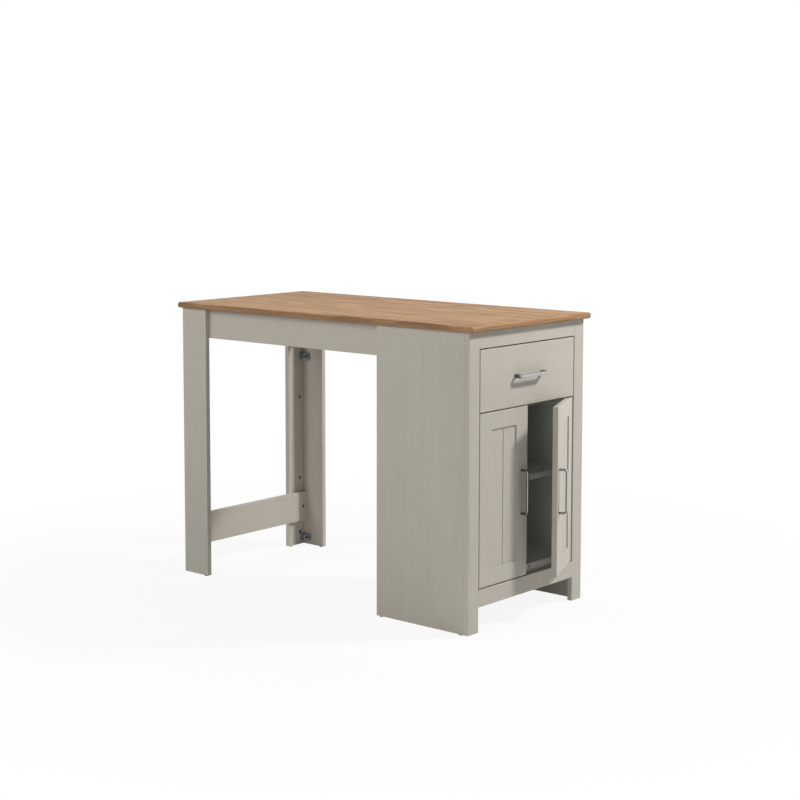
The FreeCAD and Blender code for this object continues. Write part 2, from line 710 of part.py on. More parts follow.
outer_rails = {}
inner_rails = {}
drawer_screw_list = []
for name, side, outward, inward in SIDES:
    outer_rails[name] = runner(side, "0", "RunnerLip", "RunnerHeight",
                               "FrameBack - RunnerLength", "RunnerLength")
    inner_rails[name] = runner(side, "RunnerThickness", "2 * RunnerWall",
                               "RunnerHeight - 2 * RunnerWall - 2 * RunnerPlay",
                               "FrameBack - RunnerLength", "RunnerLength")
    for screw_x in ("FrameBack - RunnerLength + 2 * CamInset", "FrameBack - 2 * CamInset"):
        short_list.append(screw(outward, (screw_x, across(side, "OpeningHalf - RunnerWall"),
                                          "RunnerZ"), "ShortScrew"))
        drawer_screw_list.append(screw(
            inward, (screw_x, across(side, "BoxHalf + RunnerWall"), "RunnerZ"),
            "BoxBoard - RunnerWall"))


# ------------------------------------------------------------------ wood screws of the body

long_list = []
for name, side, outward, inward in SIDES:
    for screw_x in ("BodyLeft + LegFaceWidth - GlideSetback", "BodyLeft + LegFaceWidth / 2"):
        for way in (-1, 1):
            long_list.append(screw(
                outward, (screw_x, across(side, "InnerHalf - BoardThickness"),
                          f"TopUnder - ApronHeight / 2 + {way} * ApronHeight / 4"), "LongScrew"))
    for rail_x in ("FrameBack - TieWidth / 2", "CabinetInner + TieWidth / 2"):
        long_list.append(screw(PLUS_Z, (rail_x, across(side, "InnerHalf / 2"),
                                        "TopUnder - BoardThickness"), "LongScrew"))
short_screws = keep(group("short_wood_screws", short_list), "short_wood_screws")
long_screws = keep(group("long_wood_screws", long_list), "long_wood_screws")

fitted("corner_blocks", group("block_group", block_list), short_screws)
fitted("top_brackets", group("bracket_group", bracket_list), short_screws)
fitted("hinge_arms", group("arm_group", arm_list), short_screws)
fitted("hinge_plates", group("plate_group", plate_list), short_screws)
for name, rail in outer_rails.items():
    fitted(f"{name}_outer_runner", rail, short_screws)


# ------------------------------------------------------------------ top, legs, stretcher, aprons

def tabletop():
    """One thick board with a rounded nosing all round."""
    slab = body("tabletop_blank")
    drawing = sketch(slab, "XY_Plane")
    rectangle(drawing, "0", "-TopDepth / 2", "TopLength", "TopDepth / 2")
    block = pad(slab, drawing, "TopThickness")
    upright = edges_where(block, lambda edge: abs(edge.tangentAt(edge.FirstParameter).z) > 0.9)
    corners = rounded(slab, block, upright, "TopCornerRadius")
    level = edges_where(corners, lambda edge: abs(edge.tangentAt(edge.FirstParameter).z) < 0.1)
    rounded(slab, corners, level, "NosingRadius")
    place(slab, "BodyLeft - LegEndOverhang", "0", "TopUnder")
    return slab


fitted("tabletop", tabletop(), short_screws, long_screws)

for name, side, outward, inward in SIDES:
    face_board = plank("leg_face_board",
                       ("BodyLeft", low_across(side, "InnerHalf", "HalfDepth"), "GlideHeight"),
                       ("LegFaceWidth", "BoardThickness", "BoardHeight"))
    fitted(f"{name}_leg_face_board", face_board, cam_bolts, dowels, short_screws, long_screws,
           foot_glides)
    end_board = plank("leg_end_board",
                      ("BodyLeft", low_across(side, "InnerHalf - LegEndWidth", "InnerHalf"),
                       "GlideHeight"),
                      ("BoardThickness", "LegEndWidth", "BoardHeight"))
    fitted(f"{name}_leg_end_board", end_board, cam_seats, cam_bolts, dowels, short_screws,
           foot_glides)
    apron = plank("apron",
                  ("BodyLeft + BoardThickness",
                   low_across(side, "InnerHalf - BoardThickness", "InnerHalf"), "ApronBottom"),
                  ("CabinetLeft - BodyLeft - BoardThickness", "BoardThickness", "ApronHeight"))
    fitted(f"{name}_apron", apron, short_screws, long_screws)

stretcher = plank("leg_stretcher", ("BodyLeft + BoardThickness", "-InnerHalf", "StretcherLift"),
                  ("BoardThickness", "2 * InnerHalf", "StretcherHeight"))
fitted("leg_stretcher", stretcher, cam_seats, cam_bolts)
end_rail = plank("leg_end_rail",
                 ("BodyLeft + BoardThickness", "-InnerHalf + BoardThickness", "ApronBottom"),
                 ("BoardThickness", "2 * (InnerHalf - BoardThickness)", "ApronHeight"))
fitted("leg_end_rail", end_rail, short_screws)


# ------------------------------------------------------------------ cabinet body

for name, side, outward, inward in SIDES:
    panel = plank("cabinet_side",
                  ("CabinetLeft", low_across(side, "InnerHalf", "HalfDepth"), "GlideHeight"),
                  ("CabinetLength - BoardThickness", "BoardThickness", "BoardHeight"))
    fitted(f"cabinet_{name}_side", panel, cam_bolts, dowels, shelf_pins, foot_glides)
    stile = plank("stile",
                  ("FrameBack", low_across(side, "OpeningHalf", "HalfDepth"), "GlideHeight"),
                  ("BoardThickness", "StileWidth", "BoardHeight"))
    fitted(f"{name}_stile", stile, dowels, short_screws)
    packer = plank("runner_packer",
                   ("CabinetInner", low_across(side, "OpeningHalf", "InnerHalf"),
                    "RunnerZ - PackerHeight / 2"),
                   ("FrameBack - CabinetInner", "InnerHalf - OpeningHalf", "PackerHeight"))
    fitted(f"{name}_runner_packer", packer, dowels, short_screws)


def cross_board(name, x, z, length, thickness="BoardThickness"):
    """A level board between the cabinet's two sides, with its upper face at z."""
    return plank(name, (x, "-InnerHalf", f"{z} - {thickness}"),
                 (length, "2 * InnerHalf", thickness))


back = plank("cabinet_back", ("CabinetLeft", "-InnerHalf", "GlideHeight"),
             ("BoardThickness", "2 * InnerHalf", "BoardHeight"))
fitted("cabinet_back", back, cam_seats, cam_bolts, short_screws)
bottom = cross_board("cabinet_bottom", "CabinetInner", "CabinetFloor",
                     "FrameBack - StopGap - CabinetInner")
fitted("cabinet_bottom", bottom, cam_seats, cam_bolts)
# glued under the bottom board, it closes the slot above the bottom rail
keep(cross_board("floor_batten", "FrameBack - StopGap - BoardThickness",
                 "CabinetFloor - BoardThickness", "BoardThickness", "BattenHeight"),
     "floor_batten")
divider = cross_board("divider_rail", "FrameBack - DividerSetback - DividerWidth", "DividerTop",
                      "DividerWidth")
fitted("divider_rail", divider, cam_seats, cam_bolts)
for rail_name, rail_x in (("door_end_tie_rail", "FrameBack - TieWidth"),
                          ("knee_end_tie_rail", "CabinetInner")):
    rail = cross_board(rail_name, rail_x, "TopUnder", "TieWidth")
    fitted(rail_name, rail, cam_seats, cam_bolts, long_screws)
keep(plank("cabinet_shelf",
           ("CabinetInner + ShelfSlack", "-InnerHalf + ShelfSlack", "ShelfTop - BoardThickness"),
           ("FrameBack - ShelfSetback - CabinetInner - ShelfSlack",
            "2 * (InnerHalf - ShelfSlack)", "BoardThickness")), "cabinet_shelf")
for rail_name, rail_z, rail_height in (
        ("frame_top_rail", "TopUnder - FrameTopRail", "FrameTopRail"),
        ("frame_bottom_rail", "ToeHeight", "FrameBottomRail")):
    rail = plank(rail_name, ("FrameBack", "-OpeningHalf", rail_z),
                 ("BoardThickness", "2 * OpeningHalf", rail_height))
    fitted(rail_name, rail, dowels)
keep(group("door_bumpers", [
    cylinder(PLUS_X, ("FrameBack - StopGap", across(side, "BumperInset"),
                      "CabinetFloor - BoardThickness / 2"),
             "BumperRadius", "StopGap - BumperClearance")
    for name, side, outward, inward in SIDES]), "door_bumpers")


# ------------------------------------------------------------------ handles

def handle(name, at, lying):
    """A bow handle on a front face: two feet, two round bends and a straight grip.

    It stands upright, or lies along Y when lying is true.
    """
    bow = body(name)
    path = sketch(bow, "XZ_Plane")
    half = "HandleCentres / 2"
    top = sheet.HandleCentres / 2
    stops = [("0", half, V(0, top)), ("BendStart", half, V(sheet.BendStart, top)),
             ("GripLine", "GripEnd", V(sheet.GripLine, sheet.GripEnd)),
             ("GripLine", "-GripEnd", V(sheet.GripLine, -sheet.GripEnd)),
             ("BendStart", f"-{half}", V(sheet.BendStart, -top)), ("0", f"-{half}", V(0, -top))]
    for number in range(3):
        near, far = stops[2 * number], stops[2 * number + 1]
        path.addGeometry(Part.LineSegment(near[2], far[2]), False)
        tie_point(path, number, 1, near[0], near[1])
        tie_point(path, number, 2, far[0], far[1])
    upper = (sheet.GripEnd, 0, math.pi / 2, (1, 1), (0, 2))
    lower = (-sheet.GripEnd, -math.pi / 2, 0, (2, 1), (1, 2))
    for height, first, last, start, end in (upper, lower):
        round_line = Part.Circle(V(sheet.BendStart, height), V(0, 0, 1), sheet.BendRadius)
        bend = path.addGeometry(Part.ArcOfCircle(round_line, first, last), False)
        path.addConstraint(Sketcher.Constraint("Coincident", bend, 1, *start))
        path.addConstraint(Sketcher.Constraint("Coincident", bend, 2, *end))
        rule = path.addConstraint(Sketcher.Constraint("Radius", bend, sheet.BendRadius))
        path.renameConstraint(rule, f"Radius_{bend}")
        path.setExpression(f"Constraints.Radius_{bend}", bound("BendRadius"))
    profile = sketch(bow, "YZ_Plane")
    rectangle(profile, "-HandleWidth / 2", f"{half} - HandleThickness / 2",
              "HandleWidth / 2", f"{half} + HandleThickness / 2")
    pipe = bow.newObject("PartDesign::AdditivePipe", "pipe")
    pipe.Profile = profile
    pipe.Spine = path
    doc.recompute()
    along = edges_where(pipe, lambda edge: abs(edge.tangentAt(edge.FirstParameter).y) < 0.5
                        and abs(edge.Length - sheet.HandleThickness) > 0.01)
    rounded(bow, pipe, along, "HandleSoftening")
    if lying:
        bow.Placement = FreeCAD.Placement(V(), turn(V(1, 0, 0), 90))
    place(bow, *at)
    return bow


def handle_screws(name, back_x, face_x, points):
    """Machine screws from behind a front into the two feet of its handle."""
    made = []
    for y, z in points:
        head = cylinder(MINUS_X, (back_x, y, z), "HandleHeadRadius", "HandleHeadDepth")
        shank = cylinder(PLUS_X, (f"{back_x} - HandleHeadDepth", y, z), "HandleScrewRadius",
                         f"{face_x} - ({back_x}) + HandleHeadDepth + HandleScrewBite")
        made.append(joined("handle_screw", [head, shank]))
    return group(name, made)


def round_outer_edges(owner, block, outer_x):
    """Round the edges of a front's outer face."""
    face_edges = edges_where(block, lambda edge: abs(edge.BoundBox.XMin - outer_x) < 0.01)
    return rounded(owner, block, face_edges, "FrontRound")


# ------------------------------------------------------------------ drawer

DRAWER_HANDLE_Z = "DrawerBottom + DrawerFrontHeight / 2"
drawer_handle_screws = handle_screws(
    "drawer_handle_screws", "FrameBack", "BodyRight",
    [(across(side, "HandleCentres / 2"), DRAWER_HANDLE_Z) for side in (-1, 1)])
keep(drawer_handle_screws, "drawer_handle_screws")
drawer_bow = handle("drawer_bow", ("BodyRight", "0", DRAWER_HANDLE_Z), True)
fitted("drawer_handle", drawer_bow, drawer_handle_screws)

drawer_bottom = plank("drawer_bottom",
                      ("BoxBack", "-(BoxHalf - BoxBoard + GrooveDepth)", "BoxBottom + GrooveLift"),
                      ("BoxLength + GrooveDepth", "2 * (BoxHalf - BoxBoard + GrooveDepth)",
                       "BottomPanel"), None)
keep(drawer_bottom, "drawer_bottom")
for name, side, outward, inward in SIDES:
    for screw_z in ("BoxBottom + GrooveLift + 2 * BoxBoard", "BoxBottom + BoxHeight - BoxBoard"):
        drawer_screw_list.append(screw(
            PLUS_X, ("BoxBack", across(side, "BoxHalf - BoxBoard / 2"), screw_z), "BoxBoard"))
drawer_screws = keep(group("drawer_wood_screws", drawer_screw_list), "drawer_wood_screws")
for name, side, outward, inward in SIDES:
    box_side = plank("drawer_side",
                     ("BoxBack", low_across(side, "BoxHalf - BoxBoard", "BoxHalf"), "BoxBottom"),
                     ("BoxLength", "BoxBoard", "BoxHeight"))
    fitted(f"drawer_{name}_side", box_side, drawer_bottom, drawer_screws)
    fitted(f"{name}_inner_runner", inner_rails[name], drawer_screws)
keep(plank("drawer_back",
           ("BoxBack", "-(BoxHalf - BoxBoard)", "BoxBottom + GrooveLift + BottomPanel"),
           ("BoxBoard", "2 * (BoxHalf - BoxBoard)", "BoxHeight - GrooveLift - BottomPanel")),
     "drawer_back")

front_blank = body("drawer_front_blank")
front_sketch = sketch(front_blank, "YZ_Plane")
rectangle(front_sketch, "-(OpeningHalf - Gap)", "0", "OpeningHalf - Gap", "DrawerFrontHeight")
front_pad = pad(front_blank, front_sketch, "BoardThickness")
round_outer_edges(front_blank, front_pad, sheet.BoardThickness)
place(front_blank, "FrameBack", "0", "DrawerBottom")
fitted("drawer_front", front_blank, drawer_bottom, drawer_handle_screws)


# ------------------------------------------------------------------ doors

def door_leaf(side):
    """One door in its own frame: the hinge pin is the Z axis and the lower edge is z = 0."""
    leaf = body("door_leaf")
    edge = across(side, "PinEdge")
    free = across(side, "PinEdge - DoorWidth")
    slab = sketch(leaf, "YZ_Plane", "InnerFace")
    rectangle(slab, edge, "0", free, "DoorHeight")
    block = pad(leaf, slab, "BoardThickness")
    round_outer_edges(leaf, block, sheet.PinDepth)
    recess = sketch(leaf, "YZ_Plane", "PinDepth")
    rectangle(recess, across(side, "PinEdge - DoorStile"), "DoorRail",
              across(side, "PinEdge - DoorWidth + DoorStile"), "DoorHeight - DoorRail")
    pocket(leaf, recess, "RecessDepth")
    vee = sketch(leaf, "XY_Plane", "DoorRail")
    middle = across(side, "PinEdge - DoorWidth / 2")
    floor = "PinDepth - RecessDepth"
    outline(vee, [(f"{floor} - VeeDepth", middle), (floor, f"{middle} + VeeWidth / 2"),
                  (floor, f"{middle} - VeeWidth / 2")])
    pocket(leaf, vee, "DoorHeight - 2 * DoorRail", reverse=True)
    cups = sketch(leaf, "YZ_Plane", "InnerFace")
    for z in hinge_heights():
        circle(cups, across(side, "CupY"), z, "CupRadius")
    pocket(leaf, cups, "CupFloor - InnerFace", reverse=True)
    return leaf


def on_door(thing, label, side, angle):
    """Carry a piece from the door's own frame to its place on the table."""
    thing.Placement = FreeCAD.Placement(V(), turn(V(0, 0, 1), 1))
    place(thing, "HingeX", across(side, "HingeHalf"), "DoorBottom")
    thing.setExpression("Placement.Rotation.Angle", bound(angle))
    return keep(thing, label)


for name, side, angle in (("left", -1, "0"), ("right", 1, "DoorAjar")):
    cup_list = [hinge_cup(side, z) for z in hinge_heights()]
    pins = group(f"{name}_pin_group", [hinge_pin(z) for z in hinge_heights()])
    cup_screws = group(f"{name}_screw_group", [
        screw(PLUS_X, ("InnerFace - FlangeThickness", across(side, "CupY"),
                       f"{z} + {way} * FlangeScrews / 2"), "ShortScrew - FlangeThickness")
        for z in hinge_heights() for way in (-1, 1)])
    handle_y = across(side, "-HandleArm")
    handle_z = "DoorHeight / 2"
    grip_screws = handle_screws(f"{name}_grip_screws", "InnerFace", "PinDepth",
                                [(handle_y, f"{handle_z} + {way} * HandleCentres / 2")
                                 for way in (-1, 1)])
    bow = handle(f"{name}_bow", ("PinDepth", handle_y, handle_z), False)
    notches = group(f"{name}_notches", [hinge_notch(side, z) for z in hinge_heights()])
    leaf = without(f"{name}_leaf", door_leaf(side), notches, cup_screws, pins, grip_screws)
    on_door(leaf, f"{name}_door_leaf", side, angle)
    on_door(without(f"{name}_grip", bow, grip_screws), f"{name}_door_handle", side, angle)
    on_door(without(f"{name}_cups", group(f"{name}_cup_group", cup_list), cup_screws),
            f"{name}_hinge_cups", side, angle)
    on_door(group(f"{name}_pins", [pins]), f"{name}_hinge_pins", side, angle)
    on_door(group(f"{name}_cup_screws", [cup_screws]), f"{name}_hinge_screws", side, angle)
    on_door(group(f"{name}_handle_fixing", [grip_screws]), f"{name}_handle_screws", side, angle)


# ------------------------------------------------------------------ check and write

doc.recompute()
for thing in doc.Objects:
    if "Invalid" in thing.State or "Error" in thing.State:
        raise RuntimeError(f"{thing.Name} ({thing.Label}) failed: {thing.State}")
for thing in nodes:
    if thing.Shape.isNull() or not thing.Shape.isValid() or not thing.Shape.Solids:
        raise RuntimeError(f"{thing.Label} has no valid solid")

os.makedirs("parts", exist_ok=True)
for thing in nodes:
    thing.Shape.exportStep(f"parts/{thing.Label}.step")
print(f"{len(nodes)} sub-parts, {sum(len(thing.Shape.Solids) for thing in nodes)} solids")
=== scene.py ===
"""Kitchen table with a storage cabinet: painted boards, an oak-effect top, handles and fittings.

+X runs along the table towards the doors, -Y is the long side in front, +Z is up; metres.
Solids whose shape is final keep it and get a finish here. The top, the handles and the screws
are surfaces worked out below.
"""

import math

import bpy
import numpy as np
from mathutils import Euler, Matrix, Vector


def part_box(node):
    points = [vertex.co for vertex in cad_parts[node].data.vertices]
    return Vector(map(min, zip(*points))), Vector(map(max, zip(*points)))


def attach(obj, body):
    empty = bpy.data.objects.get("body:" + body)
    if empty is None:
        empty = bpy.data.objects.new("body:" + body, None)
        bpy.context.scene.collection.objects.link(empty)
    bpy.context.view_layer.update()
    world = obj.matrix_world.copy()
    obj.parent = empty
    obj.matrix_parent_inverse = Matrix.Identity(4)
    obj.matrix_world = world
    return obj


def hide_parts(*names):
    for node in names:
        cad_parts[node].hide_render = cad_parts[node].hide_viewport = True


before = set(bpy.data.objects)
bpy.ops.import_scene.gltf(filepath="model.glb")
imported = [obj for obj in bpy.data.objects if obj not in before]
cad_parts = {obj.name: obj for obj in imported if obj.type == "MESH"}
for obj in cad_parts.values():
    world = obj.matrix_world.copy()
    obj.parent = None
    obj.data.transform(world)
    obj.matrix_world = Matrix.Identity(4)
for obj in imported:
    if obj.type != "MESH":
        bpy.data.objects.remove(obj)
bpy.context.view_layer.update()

MM = 0.001
QUARTER = math.pi / 2         # a quarter turn


def middle(name):
    """The middle of a node's box."""
    low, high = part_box(name)
    return [(one + other) / 2 for one, other in zip(low, high)]


# Tabletop, from the solid it stands for
TOP_LOW, TOP_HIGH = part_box("tabletop")
TOP_MIDDLE = middle("tabletop")[0]
NOSING = 6.5 * MM             # rounding of the top's upper and lower edges
TOP_CORNER = 5.0 * MM         # rounding of its corners in plan
LEAST_CORNER = 0.4 * MM       # the same on the rings that lie furthest in
NOSING_RINGS = 9              # rings of points on each rounded edge
FLAT_RINGS = np.array([3.0, 0.5]) * MM                # two rings past the nosing, on the flat faces
END_EDGING = (TOP_HIGH.x - TOP_LOW.x) / 2 - NOSING    # from TOP_MIDDLE out to the end edges

# Bow handles
STRAP_WIDTH = 12.0 * MM
STRAP_THICKNESS = 6.0 * MM
STRAP_SOFTENING = 2.3 * MM    # rounded corners of the strap's section
STRAP_STEPS = 5               # steps round each of them
HANDLE_BEND = 6.0 * MM        # inner radius of the bends
STRAIGHT_RINGS = 5            # rings of points along the grip and along each foot
BEND_RINGS = 15               # and round each bend
HANDLE_LOW, HANDLE_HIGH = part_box("left_door_handle")
DOOR_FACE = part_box("left_door_leaf")[1].x             # the drawer's face lies in the same plane
HANDLE_STANDOFF = HANDLE_HIGH.x - DOOR_FACE
HANDLE_CENTRES = HANDLE_HIGH.z - HANDLE_LOW.z - STRAP_THICKNESS
DRAWER_HANDLE_Z = middle("drawer_handle")[2]
DOOR_HANDLE_Y, DOOR_HANDLE_Z = middle("left_door_handle")[1:]

# Right door, ajar at rest: its hinge line and how far it stands open
HINGE_X, HINGE_Y = middle("right_hinge_pins")[:2]
DOOR_AJAR = math.radians(24.5)

# Screws: points round the axis; half width and length of the recess in shares of the head's radius
SCREW_POINTS = 24
LOBE_WIDTH, LOBE_LENGTH = 0.13, 0.62
LEAST_SINE = 1e-3             # keeps a division away from zero

CREASE = math.radians(35)     # an edge that turns by more is drawn sharp
SAME_PLACE = 1e-6             # points that round to the same multiple of this are one point

# Linings: where laminate takes over from paint on a board that has both
LINING_EDGE = 0.3 * MM        # how far under a board's outer face its lining starts
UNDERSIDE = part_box("cabinet_bottom")[0].z - LINING_EDGE
NO_NEAR, NO_FAR = -1.0, 9.0   # limits of a lining that leave nothing out

# Colours, 0 to 255: main shade, deeper shade, rubbed edges or pores
PAINT_SHADES = ((189, 183, 172), (182, 176, 165), (206, 201, 190))
LAMINATE_SHADES = ((226, 229, 222), (218, 221, 214), (226, 227, 221))
DRAWER_SHADES = ((206, 200, 186), (192, 185, 170), (176, 168, 152))
BEECH_SHADES = ((214, 180, 140), (196, 158, 116), (170, 130, 90))

# Colours of the oak effect
OAK_DEEP = (141, 101, 65)
OAK_WARM = (176, 135, 92)
OAK_PALE = (197, 155, 109)
OAK_CLOUD = (167, 133, 94)
OAK_RUN = (133, 95, 61)
OAK_STREAK = (128, 90, 55)
OAK_PORE = (107, 73, 46)
OAK_RUBBED = (172, 135, 94)
# Painted shade for the top's edge: the nosing darkens as its face turns downward, with some of the
# edge band's own greyer tone
NOSING_PAINTED_SHADE = (144, 118, 94)
NOSING_SHADED_STREAK = (110, 89, 68)

# Floor and air
WHITE = (1.0, 1.0, 1.0, 1.0)
FLOOR_SHADE = (0.78, 0.78, 0.77, 1.0)
FLOOR_REACH = 14.0            # from the middle to each side of the floor
FLOOR_NEAR, FLOOR_FAR = 0.7, 2.2    # between these distances the floor runs out into white
WHITE_SHARE_NEAR = 0.9        # share of white in the floor beside the table
AIR_LIGHT = 0.15              # strength of the even light from all round

# Lamps: name, degrees round from +X, degrees up, side of the square in metres, power in watts
LAMPS = (("key_lamp", 38, 40, 0.45, 133.0),
         ("left_lamp", -112, 30, 1.8, 57.0),
         ("low_side_lamp", -62, 8, 1.4, 13.0),
         ("fill_lamp", -40, 25, 1.4, 4.0),
         ("leg_end_lamp", 172, 18, 1.8, 30.0))
LAMP_DISTANCE = 4.0
LAMP_AIM = Vector((0.0, 0.0, 0.45))     # about half way up the table, in its middle

# Camera: place in metres, turn in degrees, lens and sensor in millimetres, shift in picture widths
CAMERA_PLACE = (TOP_LOW.x + 4.11836, -4.02205, 1.36932)
CAMERA_TURN = (84.3375, -0.074, 40.4488)
CAMERA_LENS, CAMERA_SENSOR = 77.757, 36.0
CAMERA_SHIFT = -0.1


def linear(colour):
    """A display colour, three parts from 0 to 255, as the linear colour a shader takes."""
    shown = np.array(colour) / 255
    value = np.where(shown <= 0.04045, shown / 12.92, ((shown + 0.055) / 1.055) ** 2.4)
    return (*[float(part) for part in value], 1.0)


def lighter(colour, by):
    """A display colour with the same amount added to each part."""
    return [min(255, part + by) for part in colour]


# ---------------------------------------------------------------- surfaces

def quads(rows, columns):
    """Faces between neighbouring rings of points, each ring closed on itself."""
    row = np.arange(rows - 1)[:, None] * columns
    here = np.arange(columns)[None, :]
    beside = (here + 1) % columns
    corners = (row + here, row + beside, row + columns + beside, row + columns + here)
    return np.stack(np.broadcast_arrays(*corners), axis=-1).reshape(-1, 4)


def tube(grid):
    """Faces of a closed tube: ring to ring in quads, and one flat face over each end ring.

    The corners of all faces come in one row, with the number of corners of each face.
    """
    rows, columns = grid.shape[:2]
    ring = np.arange(columns)
    last = ring + (rows - 1) * columns
    corners = np.concatenate([quads(rows, columns).ravel(), ring[::-1], last])
    sizes = np.concatenate([np.full((rows - 1) * columns, 4), [columns, columns]])
    return corners, sizes


def piece(name, grids, body, nodes, finish):
    """One object out of one or more tubes of points, riding on a body in place of its nodes."""
    points = np.concatenate([grid.reshape(-1, 3) for grid in grids])
    counts = [grid.shape[0] * grid.shape[1] for grid in grids]
    firsts = np.cumsum([0] + counts[:-1])
    parts = [tube(grid) for grid in grids]
    corners = np.concatenate([row + first for (row, _), first in zip(parts, firsts)])
    sizes = np.concatenate([size for _, size in parts])
    mesh = bpy.data.meshes.new(name)
    mesh.vertices.add(len(points))
    mesh.vertices.foreach_set("co", points.ravel().astype(np.float32))
    mesh.loops.add(len(corners))
    mesh.loops.foreach_set("vertex_index", corners.astype(np.int32))
    mesh.polygons.add(len(sizes))
    mesh.polygons.foreach_set("loop_start", (np.cumsum(sizes) - sizes).astype(np.int32))
    mesh.polygons.foreach_set("use_smooth", np.ones(len(sizes), bool))
    mesh.update(calc_edges=True)
    mesh.set_sharp_from_angle(angle=CREASE)
    mesh.materials.append(finish)
    made = bpy.data.objects.new(name, mesh)
    bpy.context.scene.collection.objects.link(made)
    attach(made, body)
    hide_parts(*nodes)


def rounded_rectangle(half_x, half_y, radius, steps=8):
    """Outline of a rectangle with quarter circles for corners.

    Corner k is centre + radius (cos a, sin a), a from k quarter turns to k + 1 quarter turns.
    """
    turn = np.linspace(0, QUARTER, steps + 1)
    angle = (turn[None, :] + np.arange(4)[:, None] * QUARTER).ravel()
    side_x = np.repeat([1, -1, -1, 1], steps + 1)
    side_y = np.repeat([1, 1, -1, -1], steps + 1)
    x = side_x * (half_x - radius) + radius * np.cos(angle)
    y = side_y * (half_y - radius) + radius * np.sin(angle)
    return np.stack([x, y], axis=-1)


def top_surface():
    """The top: its edge profile carried round its outline.

    The profile is inset d and height z: a quarter circle of the nosing radius over the upper
    edge, a short straight face, and the same quarter circle under the lower edge. Each ring is
    the outline moved inwards by d.
    """
    turn = np.linspace(0, QUARTER, NOSING_RINGS)
    thickness = TOP_HIGH.z - TOP_LOW.z
    inset = np.concatenate([NOSING + FLAT_RINGS, NOSING * (1 - np.sin(turn)),
                            NOSING * (1 - np.cos(turn)), NOSING + FLAT_RINGS[::-1]])
    drop = np.concatenate([[0, 0], NOSING * (1 - np.cos(turn)),
                           thickness - NOSING * (1 - np.sin(turn)), [thickness, thickness]])
    centre = (TOP_HIGH + TOP_LOW) / 2
    half = (TOP_HIGH - TOP_LOW) / 2
    rings = [rounded_rectangle(half.x - d, half.y - d, max(TOP_CORNER - d, LEAST_CORNER))
             for d in inset]
    plan = np.stack(rings) + np.array([centre.x, centre.y])
    height = np.broadcast_to((TOP_HIGH.z - drop)[:, None], plan.shape[:2])
    return np.dstack([plan, height])


def bow_surface(centre_y, centre_z, lying):
    """A bow handle: its section carried along foot, bend, grip, bend and foot.

    The path turns from straight out, through a quarter circle, to along the grip; a point is
    path + across * width + normal * thickness, with the normal a quarter turn from the path.
    The section is a flat bar with rounded corners.
    """
    radius = HANDLE_BEND + STRAP_THICKNESS / 2
    reach = HANDLE_STANDOFF - STRAP_THICKNESS / 2
    half = HANDLE_CENTRES / 2
    foot = np.linspace(0, reach - radius, STRAIGHT_RINGS)
    turn = np.linspace(0, QUARTER, BEND_RINGS)[1:]
    grip = np.linspace(-half + radius, half - radius, STRAIGHT_RINGS + 2)[1:-1]
    out = np.concatenate([foot, reach - radius * (1 - np.sin(turn))])
    along = np.concatenate([np.full(STRAIGHT_RINGS, -half), -half + radius * (1 - np.cos(turn))])
    heading = np.concatenate([np.zeros(STRAIGHT_RINGS), turn])
    out = np.concatenate([out, np.full(STRAIGHT_RINGS, reach), out[::-1]])
    along = np.concatenate([along, grip, -along[::-1]])
    heading = np.concatenate([heading, np.full(STRAIGHT_RINGS, QUARTER), math.pi - heading[::-1]])
    section = rounded_rectangle(STRAP_WIDTH / 2, STRAP_THICKNESS / 2, STRAP_SOFTENING,
                                STRAP_STEPS)
    width, through = section[:, 0], section[:, 1]
    x = DOOR_FACE + out[:, None] + np.sin(heading)[:, None] * through
    run = along[:, None] - np.cos(heading)[:, None] * through
    side = np.broadcast_to(width, x.shape)
    if lying:
        return np.dstack([x, centre_y + run, centre_z - side])
    return np.dstack([x, centre_y + side, centre_z + run])


def swung(grid, angle):
    """Points turned about the right door's upright hinge line."""
    x, y = grid[..., 0] - HINGE_X, grid[..., 1] - HINGE_Y
    c, s = math.cos(angle), math.sin(angle)
    return np.stack([HINGE_X + c * x - s * y, HINGE_Y + s * x + c * y, grid[..., 2]], axis=-1)


def loose_parts(name):
    """The separate solids of a node, each as an array of its points.

    Points at one place count as one. Every point takes the lowest number found on its triangles,
    over and over, until no number changes; points that share a number are one solid.
    """
    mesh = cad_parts[name].data
    points = np.empty(len(mesh.vertices) * 3, np.float32)
    mesh.vertices.foreach_get("co", points)
    corners = np.empty(len(mesh.loops), np.int32)
    mesh.loops.foreach_get("vertex_index", corners)
    steps = np.round(points.reshape(-1, 3) / SAME_PLACE).astype(np.int64)
    places, same = np.unique(steps, axis=0, return_inverse=True)
    triangles = same.ravel()[corners].reshape(-1, 3)
    number = np.arange(len(places))
    while True:
        lowest = number[triangles].min(axis=1)
        following = number.copy()
        np.minimum.at(following, triangles, lowest[:, None])
        following = following[following]
        if np.array_equal(following, number):
            break
        number = following
    return [places[number == value] * SAME_PLACE for value in np.unique(number)]


def cross_recess(radius, angle):
    """Rim of a cross-shaped recess: the nearer of a lobe's end and its straight side.

    With b the angle from the nearest lobe, the rim is at min(length / cos b, width / sin b).
    """
    beside = np.abs((angle + QUARTER / 2) % QUARTER - QUARTER / 2)
    end = LOBE_LENGTH * radius / np.cos(beside)
    side = LOBE_WIDTH * radius / np.maximum(np.sin(beside), LEAST_SINE)
    return np.minimum(end, side)


